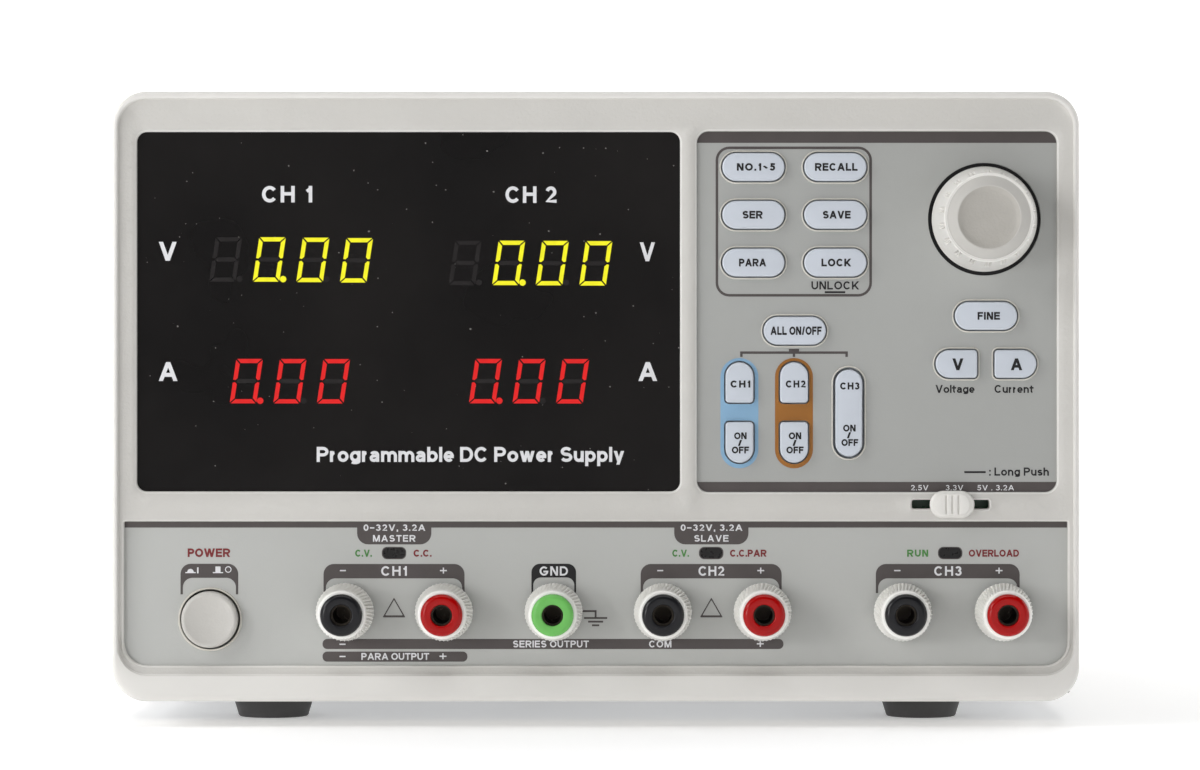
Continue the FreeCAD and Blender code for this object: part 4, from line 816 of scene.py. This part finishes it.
def control_print():
    """Bands, boxes, bracket and coloured surrounds of the control panel."""
    left, low, right, high = CONTROL
    left, low, right, high = left + EDGE, low + EDGE, right - EDGE, high - EDGE
    soft, sharp = (CONTROL_ROUND,) * 2, (0.05,) * 2
    box = (27.9, 100.25, 64.3, 135.2)
    line = 0.6
    inner_box = (box[0] + line, box[1] + line, box[2] - line, box[3] - line)
    bar, half, drop, stub = 87.2, 0.29, 1.0, 1.2
    first, middle, last = (33.9, 46.14, 58.4)
    comb = [(first + half, bar - half)]
    for x in (middle, last):
        comb += [(x - half, bar - half), (x - half, bar - drop), (x + half, bar - drop),
                 (x + half, bar - half)]
    comb = [(first - half, bar - drop), (first + half, bar - drop)] + comb
    comb[-1] = (last + half, bar + half)
    comb += [(middle + stub, bar + half), (middle + stub, bar + half + 0.6),
             (middle - stub, bar + half + 0.6), (middle - stub, bar + half),
             (first - half, bar + half)]
    joined("control_bands", [print_layer("band", outlines, "ink_dark") for outlines in (
        [rounded(left, high + EDGE - TOP_BAND, right, high, sharp + soft)],
        [rounded(left, low, right, low - EDGE + LOW_BAND, soft + sharp)],
        [rounded(*box, 3.2), rounded(*inner_box, 2.6)],
        [comb])])
    for place, finish in (("one", "ink_blue"), ("two", "ink_orange")):
        x, _ = centre_of("key_select_" + place)
        holes = [key_opening(key + place, 0.03) for key in ("key_select_", "key_output_")]
        print_layer("surround_" + place, [about(x, 73.1, 4.42, 12.85, 4.38)] + holes, finish)
    dashes = [rounded(53.3, 101.05, 58.1, 101.5, 0.1), rounded(85.8, 59.15, 90.8, 59.6, 0.1)]
    joined("long_push_marks", [print_layer("mark", [dash], "ink_black") for dash in dashes])


LARGE, LITTLE = (3.0,) * 2, (0.6,) * 2    # corner radii of the keys
KEY_ROUNDS = {"key_output_three": (3.12,) * 4, "key_voltage": (3.0, 0.6, 0.6, 3.0),
              "key_current": (0.6, 3.0, 3.0, 0.6)}
for place in ("_one", "_two"):
    KEY_ROUNDS["key_select" + place] = LITTLE + LARGE
    KEY_ROUNDS["key_output" + place] = LARGE + LITTLE


def key_shape(node, extra=0.0):
    """Outline of a key cap, grown by extra. The flange of the node is wider than the cap."""
    left, low, right, high = in_mm(node)
    lip = 0.8 - extra
    radii = tuple(radius + extra for radius in KEY_ROUNDS.get(node, LARGE * 2))
    return rounded(left + lip, low + lip, right - lip, high - lip, radii, 12)


def key_opening(node, extra=0.0):
    """Outline of a key's opening in the panel."""
    return key_shape(node, 0.55 + extra)


KEYS = [name for name in frame["nodes"] if name.startswith("key_")]


def key_lips():
    """A narrow lip round the opening of every key that has no coloured surround, in a light beige
    that is a painted highlight.
    """
    plain = [name for name in sorted(KEYS) if not name.endswith(("_one", "_two"))]
    lip_highlights = [plate("lip", [key_opening(name, 0.34), key_opening(name, -0.02)], PANEL - 0.22,
                  PANEL + 0.3, "lip", bevel=0.1) for name in plain]
    joined("key_lips", lip_highlights)


CAP_BACK = KEY_FRONT + 3.6
FLANGE_FRONT, FLANGE_BACK = KEY_FRONT + 3.7, KEY_FRONT + 4.9
STEM_RADIUS, HAIR = 1.6, 0.001


def key_caps():
    """Every key cap, softly crowned, in place of its CAD node."""
    for name in sorted(KEYS):
        _, back = depths(name)
        growth = 0.0 if name == "key_output_three" else 0.25
        cap = plate(name + "_cap", [key_shape(name, growth)], KEY_FRONT, CAP_BACK, "key",
                    bevel=0.38, body=name, bevel_steps=4)
        flange = plate(name + "_flange", [key_shape(name, 0.8)], FLANGE_FRONT, FLANGE_BACK,
                       "key", body=name)
        profile = [(HAIR, FLANGE_BACK), (STEM_RADIUS, FLANGE_BACK), (STEM_RADIUS, back),
                   (HAIR, back)]
        stem = turned(name + "_stem", profile, *centre_of(name), "key", name, 24, closed=False)
        stand_in(joined(name + "_cap", [cap, flange, stem]), name)


def key_words():
    """Legends, each on its own key: text, place from the key's middle, height and width."""
    on_off = [("ON", 0.2, 1.55, 1.6, 2.9), ("/", 0.1, -0.1, 1.4, 1.0),
              ("OFF", 0.2, -1.75, 1.6, 4.0)]
    legends = {
        "key_preset": [("NO.1~5", 0.6, 0.0, 1.75, 8.9)],
        "key_recall": [("RECALL", 0.2, 0.0, 1.80, 9.9)],
        "key_series": [("SER", -0.2, 0.0, 1.80, 4.7)],
        "key_save": [("SAVE", 0.3, 0.0, 1.80, 6.5)],
        "key_parallel": [("PARA", -0.2, 0.0, 1.80, 6.3)],
        "key_lock": [("LOCK", 0.2, 0.0, 1.80, 6.9)],
        "key_all_on": [("ALL ON/OFF", 0.3, 0.0, 1.95, 11.9)],
        "key_fine": [("FINE", 0.6, 0.0, 1.80, 5.2)],
        "key_voltage": [("V", 0.3, -0.1, 2.75, 2.6)],
        "key_current": [("A", 0.2, -0.1, 2.75, 2.7)],
        "key_select_one": [("CH1", 0.2, -0.35, 1.65, 4.6)],
        "key_select_two": [("CH2", 0.35, -0.35, 1.65, 4.6)],
        "key_output_one": on_off,
        "key_output_two": on_off,
        "key_output_three": [("CH3", 0.2, 6.3, 1.65, 4.5), ("ON", 0.1, -3.5, 1.6, 2.9),
                             ("/", 0.0, -5.15, 1.4, 1.0), ("OFF", 0.2, -6.85, 1.6, 3.9)],
    }
    for name, rows in legends.items():
        x, z = centre_of(name)
        placed = [(text, x + dx, z + dz, cap, width) for text, dx, dz, cap, width in rows]
        write_words(name + "_legend", placed, "ink_black", KEY_FRONT, name, 0.235)


def control_words():
    """Words printed on the control panel."""
    write_words("control_words", [
        ("UNLOCK", 55.76, 102.86, 1.9, 11.1),
        ("Voltage", 83.65, 78.75, 1.85, 9.1),
        ("Current", 97.4, 78.75, 1.85, 9.1),
        (": Long Push", 98.55, 59.5, 1.9, 13.9),
    ], "ink_black", PANEL)
    write_words("range_words", [
        ("2.5V", 75.4, 55.75, 1.25, 4.1),
        ("3.3V", 83.5, 55.75, 1.25, 4.1),
        ("5V . 3.2A", 93.1, 55.75, 1.25, 8.6),
    ], "ink_white", PANEL - INK, weight=0.16)


POSTS = ("one_minus", "one_plus", "ground", "two_minus", "two_plus", "three_minus", "three_plus")


def terminal_print():
    """Dark bands, tabs, arches and bars of the terminal panel."""
    left, _, right, high = TERMINAL
    shapes = [[rounded(left + EDGE, high - TERMINAL_BAND, right - EDGE, high - EDGE, 0.05)]]
    shapes += [[tab(x)] for x in (-46.95, 26.9)]
    shapes += [[arch(x, half, ARCH_TOP, 3.36, LEG_END)]
               for x, half in ((-47.0, 16.42), (26.85, 16.42), (81.95, 16.75))]
    shapes.append([arch(-90.0, 6.72, 38.04, 3.29, 30.9)])
    shapes += [[rounded(-63.65, 18.17, 43.7, 20.53, 1.1)],
               [rounded(-63.65, 15.23, -29.9, 17.59, 1.1)]]
    shapes += [[about(x, LENS_ROW, 2.85, 1.45, 1.25), about(x, LENS_ROW, 2.6, 1.25, 1.1)]
               for x in (-47.0, 26.87, 82.52)]
    shapes += [[triangle(x, 27.6, 2.85), triangle(x, 27.6, 2.15)] for x in (-47.0, 26.9)]
    shapes += ground_symbol(-0.05, 27.0)
    joined("terminal_bands", [print_layer("band", outlines, "ink_dark") for outlines in shapes])
    x, _ = centre_of("collar_ground")
    print_layer("ground_tab", [arch(x, 5.2, 38.04, 3.2, LEG_END, 2.0, 1.8, 0.42)], "ink_black")


def triangle(x, z, size):
    """An upright triangle with slightly rounded corners."""
    found = []
    for angle in (90, 210, 330):
        corner_x = x + size * math.cos(math.radians(angle))
        corner_z = z - size * 0.18 + size * math.sin(math.radians(angle))
        found += corner_arc(corner_x, corner_z, 0.12, angle - 60, angle + 60, 4)
    return found


def ground_symbol(x, z):
    """The earth symbol: a lead from the post and three shorter and shorter bars."""
    half = 0.22
    strokes = [rounded(x - 3.2, z - half, x + half, z + half, 0.05),
               rounded(x - half, z - 1.6, x + half, z + half, 0.05)]
    for step, length in enumerate((2.7, 1.75, 0.85)):
        level = z - 1.6 - step * 0.85
        strokes.append(rounded(x - length, level - half, x + length, level + half, 0.05))
    return [[stroke] for stroke in strokes]


def terminal_words():
    """Words printed on the terminal panel."""
    white = ("ink_white", PANEL - INK)
    write_words("terminal_words", [
        ("0-32V, 3.2A", -46.9, 46.45, 1.5, 14.4), ("MASTER", -46.95, 43.95, 1.55, 9.9),
        ("0-32V, 3.2A", 26.95, 46.45, 1.5, 14.4), ("SLAVE", 26.9, 43.95, 1.55, 8.0),
        ("CH1", -47.0, 36.35, 2.25, 6.0), ("CH2", 26.9, 36.35, 2.25, 6.0),
        ("CH3", 82.0, 36.35, 2.25, 6.4), ("GND", -9.8, 36.35, 2.15, 6.6),
        ("SERIES OUTPUT", -10.45, 19.35, 1.6, 17.7), ("COM", 15.0, 19.35, 1.6, 5.2),
        ("PARA OUTPUT", -46.7, 16.45, 1.6, 15.8), ("I", -92.7, 36.5, 1.4, 0.35),
    ], *white, weight=0.195)
    write_words("signs", [
        ("-", -58.9, 36.55, 2.4, 1.4), ("+", -35.5, 36.55, 2.4, 1.6),
        ("-", 15.0, 36.55, 2.4, 1.4), ("+", 38.4, 36.55, 2.4, 1.6),
        ("-", 70.2, 36.55, 2.4, 1.5), ("+", 93.9, 36.55, 2.4, 1.6),
        ("-", -59.0, 19.4, 2.4, 1.4), ("+", 38.3, 19.5, 2.4, 1.6),
        ("-", -59.0, 16.55, 2.4, 1.4), ("+", -35.6, 16.6, 2.4, 1.6),
    ], *white, weight=0.125)
    write_words("red_words", [
        ("POWER", -90.1, 40.6, 2.0, 9.9), ("C.C.", -40.35, 40.5, 1.65, 4.2),
        ("C.C.PAR", 35.5, 40.5, 1.65, 8.5), ("OVERLOAD", 92.7, 40.5, 1.65, 11.7),
    ], "ink_red", PANEL, weight=0.23)
    write_words("green_words", [
        ("C.V.", -54.1, 40.5, 1.65, 3.9), ("C.V.", 19.75, 40.5, 1.65, 3.9),
        ("RUN", 74.95, 40.5, 1.65, 4.9),
    ], "ink_green", PANEL, weight=0.225)
    marks = [
        [corner_arc(-94.4, 36.1, 0.75, 0, 180)], [rounded(-88.6, 36.1, -87.4, 37.4, 0.1)],
        [rounded(-95.6, 35.85, -93.2, 36.1, 0.05)], [rounded(-89.2, 35.85, -86.8, 36.1, 0.05)],
        [ring(-85.6, 36.7, 0.75, 24), ring(-85.6, 36.7, 0.55, 24)],
    ]
    joined("button_marks", [print_layer("mark", outlines, *white) for outlines in marks])


# ---- display
DIGIT_HEIGHT, DIGIT_WIDTH, DIGIT_PITCH = 10.35, 6.2, 10.15
SEGMENT = 0.98                 # width of a segment
SLANT = math.tan(math.radians(8.5))
GLASS = PANEL - GAP


def segments():
    """The seven segment shapes about the digit's middle, upright, keyed by letter."""
    w, h, t, gap = DIGIT_WIDTH / 2, DIGIT_HEIGHT / 2, SEGMENT, 0.32
    d = gap * 0.7
    top = [(-w + d, h), (w - d, h), (w - t - d, h - t), (-w + t + d, h - t)]
    bottom = [(x, -z) for x, z in reversed(top)]
    side = [(w, h - d), (w, 0.12 + d), (w - t / 2, d), (w - t, t / 2 + d), (w - t, h - t - d)]
    low_side = [(x, -z) for x, z in reversed(side)]
    middle = [(-w + t / 2 + d, 0), (-w + t + d, -t / 2), (w - t - d, -t / 2), (w - t / 2 - d, 0),
              (w - t - d, t / 2), (-w + t + d, t / 2)]
    return {
        "a": top, "d": bottom, "b": side, "c": low_side, "g": middle,
        "f": [(-x, z) for x, z in reversed(side)],
        "e": [(-x, z) for x, z in reversed(low_side)],
    }


def lay_digit(x, z, letters, droop):
    """The chosen segments of a digit, leaning to the right."""
    shapes = segments()
    return [[(x + px + pz * SLANT, z + pz - droop) for px, pz in shapes[letter]]
            for letter in letters]


def readout(name, first_x, z, finish, sag, leading):
    """0.00 with a decimal point behind the first digit, and the unlit segments beside them."""
    dot_x = first_x + DIGIT_WIDTH / 2 - DIGIT_HEIGHT / 2 * SLANT + 0.9
    dot_z = z - DIGIT_HEIGHT / 2 + 0.6
    lit_shapes = []
    dark = lay_digit(first_x - DIGIT_PITCH, z, "abcdefg", 0) if leading else []
    for place in range(3):
        x = first_x + place * DIGIT_PITCH
        lit_shapes += lay_digit(x, z, "abcdef", sag * place)
        dark += lay_digit(x, z, "g", sag * place)
    lit_shapes.append(ring(dot_x, dot_z, 0.75, 20))
    for place in ((-1, 1) if leading else (1,)):
        dark.append(ring(dot_x + place * DIGIT_PITCH, dot_z, 0.7, 20))
    for whole, shapes, ink in ((name, lit_shapes, finish), (name + "_dark", dark, "ghost")):
        joined(whole, [print_layer(name, [shape], ink, GLASS) for shape in shapes])


def display():
    """The four readouts and the white words of the window."""
    readout("left_volts", -76.05, 108.9, "glow_yellow", 0.10, True)
    readout("left_amps", -81.4, 80.57, "glow_red", 0.02, False)
    readout("right_volts", -20.3, 108.1, "glow_yellow", 0.05, True)
    readout("right_amps", -25.7, 80.57, "glow_red", 0.02, False)
    write_words("window_words", [
        ("CH 1", -71.9, 124.1, 3.85, 11.7), ("CH 2", -15.1, 124.0, 3.85, 11.9),
        ("V", -99.7, 110.8, 4.4, 4.2), ("V", 12.0, 110.7, 4.4, 3.6),
        ("A", -99.6, 82.8, 4.4, 4.4), ("A", 12.1, 82.8, 4.4, 4.4),
        ("Programmable DC Power Supply", -29.2, 63.5, 3.5, 71.6),
    ], "ink_white", GLASS, weight=0.205)


# ---- controls that turn or travel
def encoder_knob():
    """A tapered skirt with pairs of short grooves, a bright ridge, a bevel and a dish. The bevel
    and dish are greyer than the white skirt, painted shade on the knob's front.
    """
    x, z = centre_of("encoder_knob")
    front, back = depths("encoder_knob")
    side, ridge, dish = 12.25, 10.0, 7.0
    ridge_level = front + 1.25
    profile = [(4.5, back), (side - 0.4, back), (side, back - 0.4), (side, back - 1.3),
               (side - 0.12, back - 1.6)]
    rows = 28
    start, end = back - 1.8, ridge_level + 0.5
    for step in range(rows + 1):
        t = step / rows
        profile.append((side - 0.15 - 1.75 * t, start + (end - start) * t))
    profile += corner_arc(ridge + 0.02, ridge_level + 0.32, 0.32, -10, -120, 6)
    profile += [(ridge - 0.4, ridge_level + 0.05), (ridge - 0.8, ridge_level - 0.04)]
    profile += corner_arc(dish + 0.35, front + 0.42, 0.42, -70, -118, 4)
    profile += [(dish - 0.3, front + 0.38)]
    profile += [(radius, front + 0.95 - 0.42 * (radius / dish) ** 2)
                for radius in (6.0, 4.6, 3.2, 1.6, 0.02)]
    inner = [(3.02, front + 2.0), (3.02, back)]

    half_gap = math.radians(2.2)
    pairs = 18

    def grooved(radius, y, angle):
        """Pairs of short grooves at the front of the skirt."""
        if not (end - 0.1 < y < end + 6.2) or radius < ridge + 0.35:
            return radius
        cycle = 2 * math.pi / pairs
        phase = angle % cycle - cycle / 2
        off = min(abs(phase - half_gap), abs(phase + half_gap)) * radius
        return radius - 0.65 * max(0.0, 1 - off / 0.33)

    made = turned("knob_shell", profile + inner, x, z, "white_plastic", "encoder_knob", 720,
                  radius_at=grooved)
    # The bevel takes the greyer button plastic and the dish the darker grainy face: painted shade
    # on the knob's front faces.
    made.data.materials.append(MATERIALS["button"])
    made.data.materials.append(MATERIALS["knob_face"])
    for polygon in made.data.polygons:
        centre = polygon.center
        off = math.hypot(centre.x / MM - x, centre.z / MM - z)
        if off < ridge - 0.3 and centre.y / MM < front + 1.6:
            polygon.material_index = 2 if off < dish + 0.1 else 1
    stand_in(made, "encoder_knob")
    # A black ring round the knob, 1 mm behind the panel's face, where the knob's skirt sits.
    print_layer("knob_ring", [ring(x, z, 13.1, 96), ring(x, z, 4.0, 48)], "ink_black", PANEL + 1.0)


def range_slider():
    """The thumb piece: a soft body, a raised field with three grooves, and its stem."""
    x, z = centre_of("range_slider")
    front, stem_end = depths("range_slider")
    foot = front + 2.3
    body = plate("thumb", [about(x, z, 5.2, 3.2, 3.18, 14)], front + 0.35, foot, "white_plastic",
                 bevel=0.85, body="range_slider", bevel_steps=5)
    grooves = [about(x + place, z, 0.2, 2.15, 0.19) for place in (-1.45, 0.0, 1.45)]
    field = plate("field", [about(x, z, 4.15, 2.5, 2.48, 14)] + grooves, front, front + 1.0,
                  "white_plastic", bevel=0.12, body="range_slider")
    stem = plate("stem", [about(x, z, 4.0, 0.8, 0.4)], foot - 0.05, stem_end, "white_plastic",
                 body="range_slider")
    stand_in(joined("thumb_piece", [body, field, stem]), "range_slider")


def power_button():
    """The round button with a dished face, and the ring of its hole in a light beige that is a
    painted highlight.
    """
    x, z = centre_of("power_button")
    front, back = depths("power_button")
    radius = 6.55
    shoulder = front + 12.2
    profile = [(0.02, front + 0.85)]
    profile += [(r, front + 0.85 - 0.65 * (r / 5.2) ** 2) for r in (1.2, 2.4, 3.6, 4.4, 5.0)]
    profile += corner_arc(radius - 0.75, front + 0.75, 0.75, -112, 0, 8)
    profile += [(radius, shoulder), (2.4, shoulder), (2.4, back), (0.02, back)]
    made = turned("button_shell", profile, x, z, "button", "power_button", closed=False)
    stand_in(made, "power_button")
    # The ring round the hole is light beige, a painted highlight.
    plate("button_rim", [ring(x, z, 7.45, 96), ring(x, z, 6.98, 96)], PANEL - 0.35, PANEL + 0.1,
          "lip", bevel=0.14)


KNURLS = 46


def terminals():
    """Knurled collars and glossy inserts, each on its own body, and the seats behind them."""
    for name in POSTS:
        collar(name)
        insert(name)
    # The posts behind the inserts take the near-black brass, painted shade inside the sockets.
    assign("binding_posts", "brass")


def collar(name):
    """A tapered collar with slanting knurls, which end short of its front edge."""
    node = "collar_" + name
    x, z = centre_of(node)
    front, back = depths(node)
    wide, narrow, bore = 6.8, 5.7, 4.25
    profile = [(bore, back), (wide - 0.35, back), (wide - 0.1, back - 0.15), (wide, back - 0.5),
               (wide, back - 1.0)]
    rows = 16
    start, end = back - 1.2, front + 1.4
    for step in range(rows + 1):
        t = step / rows
        profile.append((wide + (narrow - wide) * t, start + (end - start) * t))
    profile += corner_arc(narrow - 0.75, front + 0.6, 0.6, -5, -90, 5)
    profile += [(bore + 0.1, front), (bore, front + 0.1)]

    def knurled(radius, y, angle):
        """Rounded ridges that wind round the collar."""
        if not end + 0.1 < y < back - 0.4 or radius < bore + 0.5:
            return radius
        t = (y - end) / (start - end)
        fade = min(1.0, max(0.0, t * 6))
        wave = abs(math.sin(KNURLS / 2 * (angle + 0.14 * t)))
        return radius - 0.95 * fade * (1 - wave)

    made = turned(node + "_knurled", profile, x, z, "collar_plastic", node, KNURLS * 8,
                  radius_at=knurled)
    stand_in(made, node)


def insert(name):
    """The glossy insert with a fully rounded front ring and a socket mouth."""
    node = "insert_" + name
    x, z = centre_of(node)
    front, back = depths(node)
    colour = "black"
    if name == "ground":
        colour = "green"
    elif name.endswith("plus"):
        colour = "red"
    ring_radius, mouth, sleeve, bore = 4.85, 2.45, 4.2, 3.0
    profile = [(bore, back), (sleeve, back), (sleeve, front + 2.45), (ring_radius, front + 2.45)]
    profile += corner_arc(ring_radius - 1.15, front + 1.15, 1.15, 0, -90, 8)
    profile += [(mouth + 0.5, front + 0.05)]
    profile += corner_arc(mouth + 0.35, front + 0.4, 0.35, -90, -180, 4)
    profile += [(mouth, front + 1.8), (bore, front + 1.8)]
    made = turned(node + "_ring", profile, x, z, colour + "_plastic", node)
    stand_in(made, node)


# ---- case, feet and inside
def assign(node, finish):
    """Give a CAD node its finish, with smooth shading left as it was packed."""
    made = frame["nodes"][node]
    made.data.materials.clear()
    made.data.materials.append(MATERIALS[finish])


def feet():
    """Four rubber feet, wider at the top, with a soft lower edge."""
    low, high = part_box("feet")
    top = high[2] / MM
    bottom_radius, top_radius, edge = 8.45, 10.24, 0.7
    reach = high[0] / MM - top_radius
    profile = [(0.02, 0.0), (3.0, 0.0)]
    profile += [(bottom_radius - edge + edge * math.sin(a), edge - edge * math.cos(a))
                for a in (0.0, 0.4, 0.8, 1.2, 1.55)]
    profile += [(top_radius, top - 0.02), (top_radius - 0.02, top), (0.02, top)]
    made = [turned("foot", profile, x, y, "foot", steps=64, closed=False, upright=True)
            for x in (-reach, reach)
            for y in (low[1] / MM + top_radius, high[1] / MM - top_radius)]
    stand_in(joined("rubber_feet", made), "feet")


NODE_FINISH = {
    # The terminal panel takes the lighter copy of the panels' paint, painted light.
    "acrylic": ["display_window"], "panel": ["control_panel"], "lower_panel": ["terminal_panel"],
    "lens": ["indicator_lenses"],
    "dark_moulding": ["encoder", "power_switch", "digit_modules", "fan_frame", "fan_rotor",
                      "mains_inlet", "fuse_drawer"],
    "screw_steel": ["encoder_shaft", "post_nuts", "case_screws", "fan_guard", "usb_socket"],
    "board": ["front_board", "main_board"],
    "painted_sheet": ["cover", "rear_panel"], "zinc": ["chassis"],
    "lamination": ["transformer_core"], "winding": ["transformer_windings"],
    "sleeve": ["filter_capacitors"], "anodised": ["heat_sink"],
}


# ---- stage
SUPPLY = (0, -0.12, 0.08)            # where most lights aim
SOFTBOXES = [                        # name, place, aim, size and power
    ("key", (-1.0, -0.62, 0.62), SUPPLY, (0.45, 0.45), 5.1),
    ("high_left", (-0.75, -0.85, 1.05), SUPPLY, (0.5, 0.5), 1.0),
    ("right", (1.3, -0.55, 0.45), SUPPLY, (0.8, 0.9), 1.1),
    ("low", (-0.8, -1.1, 0.14), SUPPLY, (0.5, 0.22), 2.7),
    ("top", (0.0, -0.35, 1.4), SUPPLY, (1.4, 0.7), 6.2),
    ("rear_top", (0.0, 0.25, 1.2), SUPPLY, (1.4, 0.6), 2),
    ("rear_left", (-1.2, 0.3, 0.5), SUPPLY, (0.8, 0.9), 4),
    ("rear_right", (1.2, 0.3, 0.5), SUPPLY, (0.8, 0.9), 4.5),
    ("back", (0.0, 2.9, 1.7), (0, 4.2, 0.6), (2.5, 1.0), 30),
    ("floor", (0.0, 2.0, 1.9), (0, 2.2, 0), (2.5, 1.6), 18),
]


def stage():
    """A pale sweep of floor and wall, soft lights and the camera."""
    floor_radius, bend_radius, low_wall, high_wall = 3.4, 0.8, 1.0, 4.0
    points = [(0, 0, 0)]
    faces = []
    around, up = 96, 18
    for step in range(around):
        angle = 2 * math.pi * step / around
        height = low_wall + (high_wall - low_wall) * max(0.0, math.cos(angle)) ** 0.5
        profile = [(floor_radius + bend_radius * math.sin(math.pi / 2 * i / (up - 1)),
                    bend_radius * (1 - math.cos(math.pi / 2 * i / (up - 1)))) for i in range(up)]
        profile.append((floor_radius + bend_radius, height))
        points += [(r * math.sin(angle), r * math.cos(angle), z) for r, z in profile]
    for step in range(around):
        first = 1 + step * (up + 1)
        second = 1 + (step + 1) % around * (up + 1)
        faces.append((0, first, second))
        faces += [(first + i, first + i + 1, second + i + 1, second + i) for i in range(up)]
    mesh = bpy.data.meshes.new("sweep")
    mesh.from_pydata(points, [], faces)
    mesh.shade_smooth()
    paper = surface("paper", (0.93, 0.93, 0.93), 0.8, 0.004, 3, grain=0.05, grain_scale=300,
                    specular=0.2)
    shader = paper.node_tree.nodes["Principled BSDF"]
    shader.inputs["Emission Color"].default_value = (1, 1, 1, 1)
    shader.inputs["Emission Strength"].default_value = 0.29
    mesh.materials.append(paper)
    show("sweep", mesh)

    for name, place, aim, size, power in SOFTBOXES:
        light = bpy.data.lights.new(name + "_light", "AREA")
        light.shape = "RECTANGLE"
        light.size, light.size_y = size
        light.energy = power
        holder = show(light.name, light)
        holder.location = place
        holder.rotation_euler = (Vector(aim) - Vector(place)).to_track_quat("-Z", "Y").to_euler()
    world = bpy.data.worlds.new("studio")
    world.use_nodes = True
    background = world.node_tree.nodes["Background"]
    background.inputs["Color"].default_value = (1, 1, 1, 1)
    background.inputs["Strength"].default_value = 0.01
    bpy.context.scene.world = world
    bpy.context.scene.view_settings.view_transform = "Standard"

    lens = bpy.data.cameras.new("camera")
    lens.lens = 148.5
    lens.sensor_width = 36
    lens.shift_x = -0.0341
    lens.shift_y = -0.0284
    lens.clip_end = 50
    camera = show("camera", lens)
    camera.location = (0.0105, BEZEL_FRONT * MM - 1.15, 0.0876)
    camera.rotation_euler = (math.radians(90), 0, 0)
    bpy.context.scene.camera = camera


# ---- the whole supply
front_bezel()
control_print()
key_lips()
key_caps()
key_words()
control_words()
terminal_print()
terminal_words()
display()
encoder_knob()
range_slider()
power_button()
terminals()
feet()
for finish_name, node_names in NODE_FINISH.items():
    for node_name in node_names:
        assign(node_name, finish_name)
stage()
